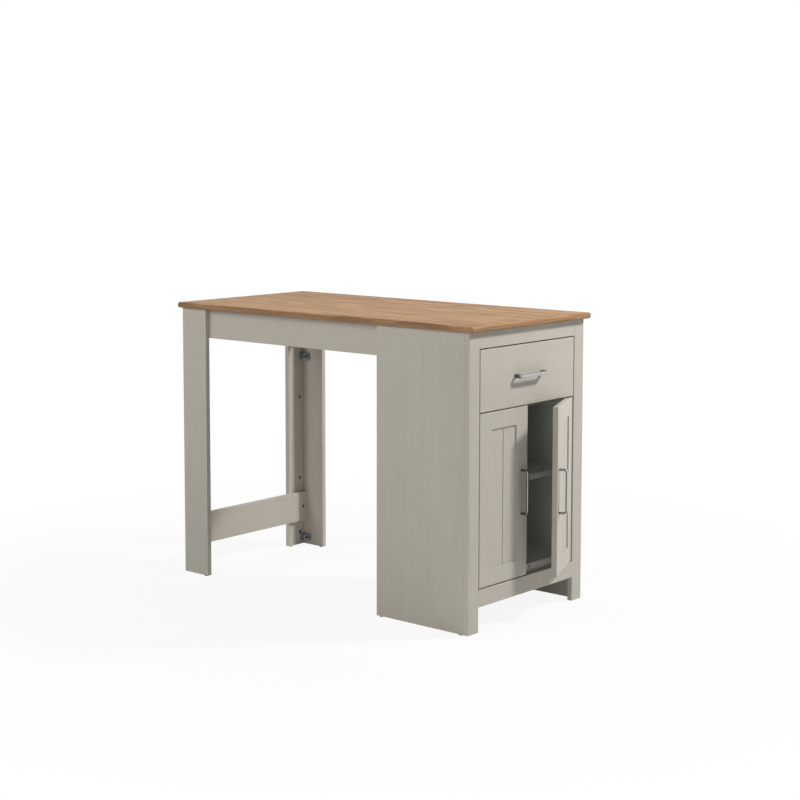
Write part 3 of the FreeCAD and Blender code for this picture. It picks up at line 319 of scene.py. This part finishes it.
def screw_surface(solid, flat_under):
    """A cross-head screw in the place of a turned solid: a profile of rings round its axis.

    From the middle of the recess out over the head, round its rim, down the cone or the flat
    underside to the shank, and to the point. The axis is the solid's longest side, the head its
    wider end. Radii and depths are shares of the radius of the head or the shank.
    """
    low, high = solid.min(axis=0), solid.max(axis=0)
    axis = int(np.argmax(high - low))
    across = [(axis + 1) % 3, (axis + 2) % 3]
    length = high[axis] - low[axis]
    centre = (low + high) / 2
    off = np.linalg.norm(solid[:, across] - centre[across], axis=1)
    head = off.max()
    shank = np.median(off[off < 0.8 * head])            # the head's own points lie further out
    widest = solid[off > 0.9 * head, axis].mean()       # where along the axis the head is
    inward = 1.0 if widest < centre[axis] else -1.0
    start = low[axis] if inward > 0 else high[axis]
    neck = 0.55 * head
    under = 0.5 * head if flat_under else 0.09 * head
    angle = (np.arange(SCREW_POINTS) + 0.5) / SCREW_POINTS * 2 * math.pi
    even = np.ones(SCREW_POINTS)
    rim = cross_recess(head, angle)
    rings = [(0.02 * head * even, 0.42 * head),       # floor of the recess
             (0.5 * rim, 0.4 * head),
             (rim, 0.04 * head),                      # mouth of the recess
             (0.78 * head * even, 0.0),               # face of the head
             (0.96 * head * even, 0.015 * head),
             (0.995 * head * even, 0.05 * head),      # rim of the head
             (0.99 * head * even, under),
             (1.04 * shank * even, neck),             # where the shank starts
             (shank * even, 1.1 * neck),
             (shank * even, length - 1.2 * shank),
             (0.12 * shank * even, length)]           # the point
    grid = np.empty((len(rings), SCREW_POINTS, 3))
    grid[..., axis] = np.array([start + inward * depth for _, depth in rings])[:, None]
    radii = np.stack([radius for radius, _ in rings])
    turn = angle if inward > 0 else -angle
    grid[..., across[0]] = centre[across[0]] + radii * np.cos(turn)
    grid[..., across[1]] = centre[across[1]] + radii * np.sin(turn)
    return grid


# ---------------------------------------------------------------- shader parts

def feed(tree, socket, value):
    """Gives an input a value, or another node's output."""
    if isinstance(value, bpy.types.NodeSocket):
        tree.links.new(value, socket)
    else:
        socket.default_value = value


def add(tree, kind, inputs=None, **settings):
    """A shader node with its settings, its inputs filled with values or with other sockets."""
    made = tree.nodes.new(kind)
    for name, value in settings.items():
        setattr(made, name, value)
    for name, value in (inputs or {}).items():
        feed(tree, made.inputs[name], value)
    return made


def arithmetic(tree, operation, first, second=0.0):
    """One sum of two numbers or sockets."""
    return add(tree, "ShaderNodeMath", {0: first, 1: second}, operation=operation).outputs[0]


def plus(tree, first, second):
    """Two numbers or sockets added."""
    return arithmetic(tree, "ADD", first, second)


def times(tree, first, second):
    """Two numbers or sockets multiplied."""
    return arithmetic(tree, "MULTIPLY", first, second)


def spread(tree, value, low, high, to_low=0.0, to_high=1.0):
    """A value moved from one range to another, smoothly, and kept inside it."""
    ranges = {"From Min": low, "From Max": high, "To Min": to_low, "To Max": to_high}
    made = add(tree, "ShaderNodeMapRange", {"Value": value, **ranges},
               interpolation_type="SMOOTHSTEP")
    return made.outputs["Result"]


def blended(tree, amount, first, second):
    """Two colours blended by an amount."""
    parts = {0: amount, 6: first, 7: second}
    return add(tree, "ShaderNodeMix", parts, data_type="RGBA").outputs[2]


def over(tree, colour, mask, share, shade):
    """A colour with a display colour laid over it: a mask says where, a share how strongly."""
    return blended(tree, times(tree, mask, share), colour, linear(shade))


def facing(tree, axis):
    """How far a face turns towards an axis of its own object, from -1 to 1."""
    normal = add(tree, "ShaderNodeTexCoord").outputs["Normal"]
    return add(tree, "ShaderNodeSeparateXYZ", {0: normal}).outputs[axis]


def in_picture(tree):
    """1 for a ray from the camera, straight or by way of a mirror or a clear piece, else 0."""
    rays = add(tree, "ShaderNodeLightPath").outputs
    beyond = arithmetic(tree, "MAXIMUM", rays["Is Glossy Ray"], rays["Is Transmission Ray"])
    return arithmetic(tree, "MAXIMUM", rays["Is Camera Ray"], beyond)


def new_group(name, takes, gives):
    """An empty shader group with named inputs and outputs."""
    tree = bpy.data.node_groups.new(name, "ShaderNodeTree")
    for label, kind, value in takes:
        socket = tree.interface.new_socket(label, in_out="INPUT", socket_type=kind)
        if value is not None:
            socket.default_value = value
    for label, kind in gives:
        tree.interface.new_socket(label, in_out="OUTPUT", socket_type=kind)
    return tree, tree.nodes.new("NodeGroupInput").outputs, tree.nodes.new("NodeGroupOutput").inputs


def make_fibres():
    """Long fine lines along X: noise squeezed in X, at two widths."""
    tree, given, result = new_group(
        "fibres",
        [("Vector", "NodeSocketVector", None), ("Lines", "NodeSocketFloat", 200.0),
         ("Length", "NodeSocketFloat", 30.0), ("Waver", "NodeSocketFloat", 0.5)],
        [("Lines", "NodeSocketFloat"), ("Broad", "NodeSocketFloat")])
    shrink = arithmetic(tree, "DIVIDE", 1.0, given["Length"])
    squeeze = add(tree, "ShaderNodeCombineXYZ", {"X": shrink, "Y": 1.0, "Z": 1.0}).outputs[0]
    place = add(tree, "ShaderNodeVectorMath", {0: given["Vector"], 1: squeeze},
                operation="MULTIPLY").outputs[0]
    for label, part, detail in (("Lines", 1.0, 4.0), ("Broad", 0.16, 2.0)):
        scale = times(tree, given["Lines"], part)
        noise = add(tree, "ShaderNodeTexNoise",
                    {"Vector": place, "Scale": scale, "Detail": detail, "Roughness": 0.6,
                     "Distortion": given["Waver"]})
        tree.links.new(noise.outputs["Fac"], result[label])
    return tree


def make_mottle():
    """Soft cloudy patches, two sizes added."""
    tree, given, result = new_group(
        "mottle", [("Vector", "NodeSocketVector", None), ("Scale", "NodeSocketFloat", 8.0)],
        [("Value", "NodeSocketFloat")])
    large = add(tree, "ShaderNodeTexNoise",
                {"Vector": given["Vector"], "Scale": given["Scale"], "Detail": 3.0}).outputs["Fac"]
    small_scale = times(tree, given["Scale"], 6.3)
    small = add(tree, "ShaderNodeTexNoise",
                {"Vector": given["Vector"], "Scale": small_scale, "Detail": 5.0}).outputs["Fac"]
    both = plus(tree, times(tree, large, 0.65), times(tree, small, 0.35))
    tree.links.new(spread(tree, both, 0.34, 0.66), result["Value"])
    return tree


def make_edge_wear():
    """Where an edge is rubbed: the softened normal leaves the true one there, in broken patches."""
    tree, given, result = new_group(
        "edge_wear",
        [("Vector", "NodeSocketVector", None), ("Radius", "NodeSocketFloat", 0.002),
         ("Patches", "NodeSocketFloat", 60.0)],
        [("Mask", "NodeSocketFloat"), ("Normal", "NodeSocketVector")])
    soft = add(tree, "ShaderNodeBevel", {"Radius": given["Radius"]}, samples=6).outputs[0]
    true = add(tree, "ShaderNodeNewGeometry").outputs["Normal"]
    likeness = add(tree, "ShaderNodeVectorMath", {0: soft, 1: true}, operation="DOT_PRODUCT")
    edge = spread(tree, likeness.outputs["Value"], 0.995, 0.86)
    patches = add(tree, "ShaderNodeTexNoise",
                  {"Vector": given["Vector"], "Scale": given["Patches"], "Detail": 6.0,
                   "Roughness": 0.7}).outputs["Fac"]
    tree.links.new(times(tree, edge, spread(tree, patches, 0.36, 0.62)), result["Mask"])
    tree.links.new(soft, result["Normal"])
    return tree


def make_brushing():
    """Fine scratches in a rolled or turned metal face, with a few cloudy stains."""
    tree, given, result = new_group(
        "brushing", [("Vector", "NodeSocketVector", None), ("Fineness", "NodeSocketFloat", 900.0)],
        [("Scratches", "NodeSocketFloat"), ("Stains", "NodeSocketFloat")])
    stretched = add(tree, "ShaderNodeVectorMath", {0: given["Vector"], 1: (0.05, 1.0, 1.0)},
                    operation="MULTIPLY").outputs[0]
    lines = add(tree, "ShaderNodeTexNoise",
                {"Vector": stretched, "Scale": given["Fineness"], "Detail": 3.0}).outputs["Fac"]
    stain_scale = times(tree, given["Fineness"], 0.14)
    stains = add(tree, "ShaderNodeTexNoise",
                 {"Vector": given["Vector"], "Scale": stain_scale, "Detail": 5.0,
                  "Roughness": 0.65}).outputs["Fac"]
    tree.links.new(spread(tree, lines, 0.35, 0.65), result["Scratches"])
    tree.links.new(spread(tree, stains, 0.38, 0.64), result["Stains"])
    return tree


def make_moulded_skin():
    """The fine pebbled skin of a moulded plastic, and the faint flow marks in it."""
    tree, given, result = new_group(
        "moulded_skin",
        [("Vector", "NodeSocketVector", None), ("Scale", "NodeSocketFloat", 1400.0)],
        [("Pebbles", "NodeSocketFloat"), ("Flow", "NodeSocketFloat")])
    cells = add(tree, "ShaderNodeTexVoronoi", {"Vector": given["Vector"], "Scale": given["Scale"]},
                feature="SMOOTH_F1").outputs["Distance"]
    flow_scale = times(tree, given["Scale"], 0.04)
    flow = add(tree, "ShaderNodeTexNoise",
               {"Vector": given["Vector"], "Scale": flow_scale, "Detail": 4.0,
                "Distortion": 1.5}).outputs["Fac"]
    tree.links.new(cells, result["Pebbles"])
    tree.links.new(spread(tree, flow, 0.35, 0.65), result["Flow"])
    return tree


FIBRES = make_fibres()
MOTTLE = make_mottle()
EDGE_WEAR = make_edge_wear()
BRUSHING = make_brushing()
MOULDED_SKIN = make_moulded_skin()

# Turns that lay a pattern's X along the object's X, Y or Z
ALONG = {"X": (0.0, 0.0, 0.0), "Y": (0.0, 0.0, -QUARTER), "Z": (0.0, QUARTER, 0.0)}


def start_finish(name, along="X"):
    """A new finish: its tree, its main shader and the object's own coordinates, turned."""
    finish = bpy.data.materials.new(name)
    finish.use_nodes = True
    tree = finish.node_tree
    shader = tree.nodes["Principled BSDF"]
    place = add(tree, "ShaderNodeTexCoord").outputs["Object"]
    turned = add(tree, "ShaderNodeMapping", {"Vector": place, "Rotation": ALONG[along]}).outputs[0]
    return finish, tree, shader, turned


def use(tree, group, **inputs):
    """A shader group placed in a finish."""
    return add(tree, "ShaderNodeGroup", inputs, node_tree=group).outputs


def relief(tree, shader, height, strength, distance, base=None):
    """A bump that feeds the shader's normal, over a base normal where one is given."""
    bump = add(tree, "ShaderNodeBump",
               {"Height": height, "Strength": strength, "Distance": distance})
    if base is not None:
        tree.links.new(base, bump.inputs["Normal"])
    tree.links.new(bump.outputs[0], shader.inputs["Normal"])


# ---------------------------------------------------------------- finishes

def painted_board(name, along, shades=PAINT_SHADES, roughness=0.46, lining=None):
    """Satin paint or laminate on a fine-grained board: faint lines along it, rubbed edges.

    A lining gives an axis and two distances from the origin: between them, and above the
    underside of the cabinet's bottom, the board is laminate, as all faces inside the cabinet are.
    """
    finish, tree, shader, place = start_finish(name, along)
    shade, deep, rubbed = shades
    lines = use(tree, FIBRES, Vector=place, Lines=420.0, Length=34.0, Waver=0.35)
    clouds = use(tree, MOTTLE, Vector=place, Scale=5.0)["Value"]
    wear = use(tree, EDGE_WEAR, Vector=place, Radius=0.0016, Patches=70.0)
    fine = spread(tree, lines["Lines"], 0.38, 0.62)
    broad = spread(tree, lines["Broad"], 0.36, 0.66)
    tone = plus(tree, times(tree, fine, 0.32),
                plus(tree, times(tree, broad, 0.3), times(tree, clouds, 0.38)))
    colour = blended(tree, tone, linear(deep), linear(shade))
    if lining is not None:
        axis, near, far = lining
        own = add(tree, "ShaderNodeTexCoord").outputs["Object"]
        parts = add(tree, "ShaderNodeSeparateXYZ", {0: own}).outputs
        off = arithmetic(tree, "ABSOLUTE", parts[axis])
        lined = times(tree, arithmetic(tree, "GREATER_THAN", off, near),
                      arithmetic(tree, "LESS_THAN", off, far))
        lined = times(tree, lined, arithmetic(tree, "GREATER_THAN", parts["Z"], UNDERSIDE))
        pale, less_pale, _ = LAMINATE_SHADES
        colour = blended(tree, lined, colour,
                         blended(tree, tone, linear(less_pale), linear(pale)))
    colour = over(tree, colour, wear["Mask"], 0.55, rubbed)
    tree.links.new(colour, shader.inputs["Base Color"])
    tree.links.new(
        spread(tree, plus(tree, fine, clouds), 0.0, 2.0, roughness + 0.08, roughness - 0.05),
        shader.inputs["Roughness"])
    shader.inputs["Specular IOR Level"].default_value = 0.3
    relief(tree, shader, lines["Lines"], 0.1, 0.00015, wear["Normal"])
    return finish


def oak_top():
    """Oak-effect top: long warm bands, darker cathedral streaks, fine pores, rubbed nosing, painted
    shade on the lower nosing.

    Past END_EDGING, measured from the middle, the two end edges wear a strip of their own, its
    grain along the edge.
    """
    finish, tree, shader, place = start_finish("oak_effect_top")
    own = add(tree, "ShaderNodeSeparateXYZ", {0: place}).outputs
    off = arithmetic(tree, "ABSOLUTE", arithmetic(tree, "SUBTRACT", own["X"], TOP_MIDDLE))
    at_end = arithmetic(tree, "GREATER_THAN", off, END_EDGING)
    across = add(tree, "ShaderNodeCombineXYZ",
                 {"X": own["Y"], "Y": own["X"], "Z": own["Z"]}).outputs[0]
    place = add(tree, "ShaderNodeMix", {0: at_end, 4: place, 5: across},
                data_type="VECTOR").outputs[1]
    bands = use(tree, FIBRES, Vector=place, Lines=44.0, Length=9.0, Waver=0.8)
    streaks = use(tree, FIBRES, Vector=place, Lines=150.0, Length=22.0, Waver=0.5)
    pores = use(tree, FIBRES, Vector=place, Lines=760.0, Length=60.0, Waver=0.2)
    clouds = use(tree, MOTTLE, Vector=place, Scale=3.4)["Value"]
    wear = use(tree, EDGE_WEAR, Vector=place, Radius=0.003, Patches=45.0)
    broad = spread(tree, bands["Broad"], 0.36, 0.64)
    narrow = spread(tree, bands["Lines"], 0.4, 0.6)
    streak = spread(tree, streaks["Lines"], 0.48, 0.74)
    pore = spread(tree, pores["Lines"], 0.58, 0.72)
    dark_run = spread(tree, streaks["Broad"], 0.54, 0.68)
    colour = blended(tree, broad, linear(OAK_DEEP), linear(OAK_WARM))
    colour = over(tree, colour, narrow, 0.85, OAK_PALE)
    colour = over(tree, colour, clouds, 0.25, OAK_CLOUD)
    colour = over(tree, colour, dark_run, 0.6, OAK_RUN)
    colour = over(tree, colour, streak, 0.6, OAK_STREAK)
    colour = over(tree, colour, pore, 0.45, OAK_PORE)
    # painted shade: the nosing's colour darkens as its face turns down, from the upper rounding to
    # the underside
    nosing_painted_shade = spread(tree, facing(tree, "Z"), 0.95, -0.3, 0.0, 0.58)
    edge = blended(tree, streak, linear(NOSING_PAINTED_SHADE), linear(NOSING_SHADED_STREAK))
    colour = blended(tree, nosing_painted_shade, colour, edge)
    colour = over(tree, colour, wear["Mask"], 0.3, OAK_RUBBED)
    tree.links.new(colour, shader.inputs["Base Color"])
    tree.links.new(spread(tree, plus(tree, pore, streak), 0.0, 2.0, 0.46, 0.62),
                   shader.inputs["Roughness"])
    shader.inputs["Specular IOR Level"].default_value = 0.07
    height = arithmetic(tree, "SUBTRACT", times(tree, streak, -0.3), pore)
    relief(tree, shader, height, 0.25, 0.0002)
    return finish


def bare_board(name, along, shades):
    """Unpainted wood of the drawer box and the dowels."""
    finish, tree, shader, place = start_finish(name, along)
    shade, deep, pore = shades
    lines = use(tree, FIBRES, Vector=place, Lines=300.0, Length=22.0, Waver=0.5)
    clouds = use(tree, MOTTLE, Vector=place, Scale=9.0)["Value"]
    wear = use(tree, EDGE_WEAR, Vector=place, Radius=0.0015, Patches=80.0)
    fine = spread(tree, lines["Lines"], 0.35, 0.65)
    tone = plus(tree, times(tree, fine, 0.6), times(tree, clouds, 0.4))
    colour = blended(tree, tone, linear(deep), linear(shade))
    colour = blended(tree, spread(tree, lines["Broad"], 0.55, 0.75, 0.0, 0.4), colour, linear(pore))
    colour = over(tree, colour, wear["Mask"], 0.4, pore)
    tree.links.new(colour, shader.inputs["Base Color"])
    tree.links.new(spread(tree, tone, 0.0, 1.0, 0.62, 0.5), shader.inputs["Roughness"])
    relief(tree, shader, lines["Lines"], 0.3, 0.0003, wear["Normal"])
    return finish


def metal(name, shade, dull, roughness, fineness=900.0, edge_wear_and_highlight=0.4, dark_reflection=None):
    """Plated or polished steel: fine scratches, faint stains, brighter edges that are partly rubbed
    and partly a painted highlight.

    Dark reflection, where given, is painted reflection: a darker shade on faces that turn away from
    the ends.
    """
    finish, tree, shader, place = start_finish(name)
    brushing = use(tree, BRUSHING, Vector=place, Fineness=fineness)
    wear = use(tree, EDGE_WEAR, Vector=place, Radius=0.0006, Patches=300.0)
    colour = over(tree, linear(shade), brushing["Stains"], 0.6, dull)
    if dark_reflection is not None:
        # painted reflection: faces that turn away from X get a darker shade, as if mirroring a dark
        # room
        away = spread(tree, arithmetic(tree, "ABSOLUTE", facing(tree, "X")), 0.85, 0.5)
        colour = blended(tree, away, colour, linear(dark_reflection))
    # brighter edges: partly rubbing, partly a painted highlight along the arrises
    colour = over(tree, colour, wear["Mask"], edge_wear_and_highlight, lighter(shade, 26))
    tree.links.new(colour, shader.inputs["Base Color"])
    shader.inputs["Metallic"].default_value = 1.0
    mixed = plus(tree, brushing["Scratches"], brushing["Stains"])
    tree.links.new(spread(tree, mixed, 0.0, 2.0, roughness - 0.04, roughness + 0.1),
                   shader.inputs["Roughness"])
    relief(tree, shader, brushing["Scratches"], 0.12, 0.00005, wear["Normal"])
    return finish


def plastic(name, shade, dark, roughness, pebble=1400.0, clear=0.0):
    """Moulded plastic: pebbled skin, faint flow marks, paler scuffed edges."""
    finish, tree, shader, place = start_finish(name)
    skin = use(tree, MOULDED_SKIN, Vector=place, Scale=pebble)
    wear = use(tree, EDGE_WEAR, Vector=place, Radius=0.0008, Patches=240.0)
    colour = blended(tree, skin["Flow"], linear(dark), linear(shade))
    colour = over(tree, colour, wear["Mask"], 0.5, lighter(shade, 34))
    tree.links.new(colour, shader.inputs["Base Color"])
    tree.links.new(spread(tree, skin["Flow"], 0.0, 1.0, roughness + 0.08, roughness - 0.04),
                   shader.inputs["Roughness"])
    shader.inputs["Transmission Weight"].default_value = clear
    relief(tree, shader, skin["Pebbles"], 0.2, 0.00008, wear["Normal"])
    return finish


OAK = oak_top()
PAINT = {way: painted_board(f"grey_paint_{way.lower()}", way) for way in "XYZ"}
LINED_SIDE = painted_board(
    "grey_paint_lined_side", "Z",
    lining=("Y", NO_NEAR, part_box("cabinet_rear_side")[0].y + LINING_EDGE))
LINED_BACK = painted_board(
    "grey_paint_lined_back", "Z",
    lining=("X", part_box("cabinet_back")[0].x + LINING_EDGE, NO_FAR))
LINED_BOTTOM = painted_board(
    "laminate_painted_edge", "Y",
    lining=("X", NO_NEAR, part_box("cabinet_bottom")[1].x - LINING_EDGE))
INSIDE = {way: painted_board(f"inside_laminate_{way.lower()}", way, LAMINATE_SHADES, 0.55)
          for way in "XY"}
DRAWER_LONG = bare_board("drawer_board_x", "X", DRAWER_SHADES)
DRAWER_CROSS = bare_board("drawer_board_y", "Y", DRAWER_SHADES)
BEECH = bare_board("beech_dowel", "Y", BEECH_SHADES)
# the last colour is painted reflection: the straps' sides are darker, as if mirroring a dark room
HANDLE = metal("polished_chrome", (186, 187, 185), (170, 171, 170), 0.1, 700.0, 0.5,
               (104, 107, 105))
ZINC = metal("zinc_plate", (178, 180, 182), (150, 152, 155), 0.3)
RUNNER = metal("galvanised_runner", (172, 174, 175), (152, 154, 156), 0.36, 420.0)
NICKEL = metal("nickel_hinge", (192, 190, 184), (168, 165, 158), 0.24)
CAM = metal("cast_cam", (126, 127, 128), (96, 97, 99), 0.42, 500.0)
SLATE = plastic("slate_block", (110, 116, 127), (86, 92, 103), 0.46)
GLIDE = plastic("glide_foot", (46, 46, 47), (34, 34, 35), 0.5)
CLEAR = plastic("clear_bumper", (222, 224, 224), (208, 211, 212), 0.2, 2200.0, 0.7)

FINISHES = {
    OAK: ("tabletop",),
    PAINT["X"]: ("front_apron", "rear_apron"),
    PAINT["Y"]: ("leg_stretcher", "leg_end_rail", "frame_top_rail", "frame_bottom_rail",
                 "floor_batten", "drawer_front"),
    PAINT["Z"]: ("front_leg_face_board", "front_leg_end_board", "rear_leg_face_board",
                 "rear_leg_end_board", "front_stile", "rear_stile", "left_door_leaf",
                 "right_door_leaf"),
    LINED_SIDE: ("cabinet_front_side", "cabinet_rear_side"),
    INSIDE["X"]: ("front_runner_packer", "rear_runner_packer"),
    LINED_BOTTOM: ("cabinet_bottom",),
    INSIDE["Y"]: ("cabinet_shelf", "divider_rail", "door_end_tie_rail", "knee_end_tie_rail"),
    LINED_BACK: ("cabinet_back",),
    DRAWER_LONG: ("drawer_front_side", "drawer_rear_side", "drawer_bottom"),
    DRAWER_CROSS: ("drawer_back",),
    BEECH: ("dowels",),
    HANDLE: ("drawer_handle", "left_door_handle", "right_door_handle"),
    ZINC: ("drawer_handle_screws", "drawer_wood_screws", "left_handle_screws",
           "right_handle_screws", "left_hinge_screws", "right_hinge_screws", "long_wood_screws",
           "short_wood_screws", "shelf_pins", "cam_bolts", "top_brackets"),
    RUNNER: ("front_inner_runner", "front_outer_runner", "rear_inner_runner", "rear_outer_runner"),
    NICKEL: ("hinge_arms", "hinge_plates", "left_hinge_cups", "right_hinge_cups", "left_hinge_pins",
             "right_hinge_pins"),
    CAM: ("cam_locks",),
    SLATE: ("corner_blocks",),
    GLIDE: ("foot_glides",),
    CLEAR: ("door_bumpers",),
}
for finish, names in FINISHES.items():
    for name in names:
        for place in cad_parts[name].material_slots:
            place.material = finish


# ---------------------------------------------------------------- pieces

piece("oak_tabletop", [top_surface()], "carcass", ["tabletop"], OAK)

DRAWER_BOW = bow_surface(0.0, DRAWER_HANDLE_Z, True)
LEFT_BOW = bow_surface(DOOR_HANDLE_Y, DOOR_HANDLE_Z, False)
RIGHT_BOW = swung(bow_surface(-DOOR_HANDLE_Y, DOOR_HANDLE_Z, False), DOOR_AJAR)
piece("drawer_bow", [DRAWER_BOW], "drawer", ["drawer_handle"], HANDLE)
piece("left_door_bow", [LEFT_BOW], "left_door", ["left_door_handle"], HANDLE)
piece("right_door_bow", [RIGHT_BOW], "right_door", ["right_door_handle"], HANDLE)

for name, body in (("short_wood_screws", "carcass"), ("long_wood_screws", "carcass"),
                   ("drawer_wood_screws", "drawer"), ("drawer_handle_screws", "drawer"),
                   ("left_handle_screws", "left_door"), ("left_hinge_screws", "left_door")):
    grids = [screw_surface(solid, "handle" in name) for solid in loose_parts(name)]
    piece(f"cross_head_{name}", grids, body, [name], ZINC)
for name in ("right_handle_screws", "right_hinge_screws"):
    closed = [swung(solid, -DOOR_AJAR) for solid in loose_parts(name)]
    grids = [swung(screw_surface(solid, "handle" in name), DOOR_AJAR) for solid in closed]
    piece(f"cross_head_{name}", grids, "right_door", [name], ZINC)


# ---------------------------------------------------------------- floor, light and camera

def white_floor():
    """A pale floor that keeps the table's shadow near it and runs out into plain white."""
    finish = bpy.data.materials.new("pale_floor")
    finish.use_nodes = True
    tree = finish.node_tree
    tree.nodes.clear()
    place = add(tree, "ShaderNodeTexCoord").outputs["Object"]
    away = add(tree, "ShaderNodeVectorMath", {0: place}, operation="LENGTH").outputs["Value"]
    white_share = times(tree, spread(tree, away, FLOOR_NEAR, FLOOR_FAR, WHITE_SHARE_NEAR, 1.0),
                        in_picture(tree))
    matt = add(tree, "ShaderNodeBsdfDiffuse", {"Color": FLOOR_SHADE}).outputs[0]
    white = add(tree, "ShaderNodeEmission", {"Color": WHITE, "Strength": 1.0}).outputs[0]
    mix = add(tree, "ShaderNodeMixShader", {0: white_share, 1: matt, 2: white}).outputs[0]
    add(tree, "ShaderNodeOutputMaterial", {"Surface": mix})
    mesh = bpy.data.meshes.new("floor")
    ways = ((-1, -1), (1, -1), (1, 1), (-1, 1))
    corners = [(x * FLOOR_REACH, y * FLOOR_REACH, 0) for x, y in ways]
    mesh.from_pydata(corners, [], [(0, 1, 2, 3)])
    mesh.materials.append(finish)
    made = bpy.data.objects.new("floor", mesh)
    bpy.context.scene.collection.objects.link(made)


def studio_air():
    """Even light from all round, which the camera sees as plain white."""
    world = bpy.data.worlds.new("studio")
    bpy.context.scene.world = world
    world.use_nodes = True
    tree = world.node_tree
    tree.nodes.clear()
    soft = add(tree, "ShaderNodeBackground", {"Color": WHITE, "Strength": AIR_LIGHT}).outputs[0]
    white = add(tree, "ShaderNodeBackground", {"Color": WHITE, "Strength": 1.0}).outputs[0]
    mix = add(tree, "ShaderNodeMixShader", {0: in_picture(tree), 1: soft, 2: white}).outputs[0]
    add(tree, "ShaderNodeOutputWorld", {"Surface": mix})


def soft_lamp(name, turn, rise, size, power):
    """A square soft lamp that shines on the middle of the table."""
    lamp = bpy.data.lights.new(name, "AREA")
    lamp.size = size
    lamp.energy = power
    made = bpy.data.objects.new(name, lamp)
    bpy.context.scene.collection.objects.link(made)
    round_z, up = math.radians(turn), math.radians(rise)
    way = Vector((math.cos(up) * math.cos(round_z), math.cos(up) * math.sin(round_z), math.sin(up)))
    made.location = LAMP_AIM + LAMP_DISTANCE * way
    made.rotation_euler = way.to_track_quat("Z", "Y").to_euler()


def view():
    """The camera, on the side of the doors and the long front."""
    camera = bpy.data.cameras.new("camera")
    camera.sensor_width = CAMERA_SENSOR
    camera.lens = CAMERA_LENS
    camera.shift_y = CAMERA_SHIFT
    made = bpy.data.objects.new("camera", camera)
    bpy.context.scene.collection.objects.link(made)
    made.location = CAMERA_PLACE
    made.rotation_euler = Euler([math.radians(part) for part in CAMERA_TURN], "XYZ")
    bpy.context.scene.camera = made


white_floor()
studio_air()
for lamp in LAMPS:
    soft_lamp(*lamp)
view()
bpy.context.scene.view_settings.view_transform = "Standard"
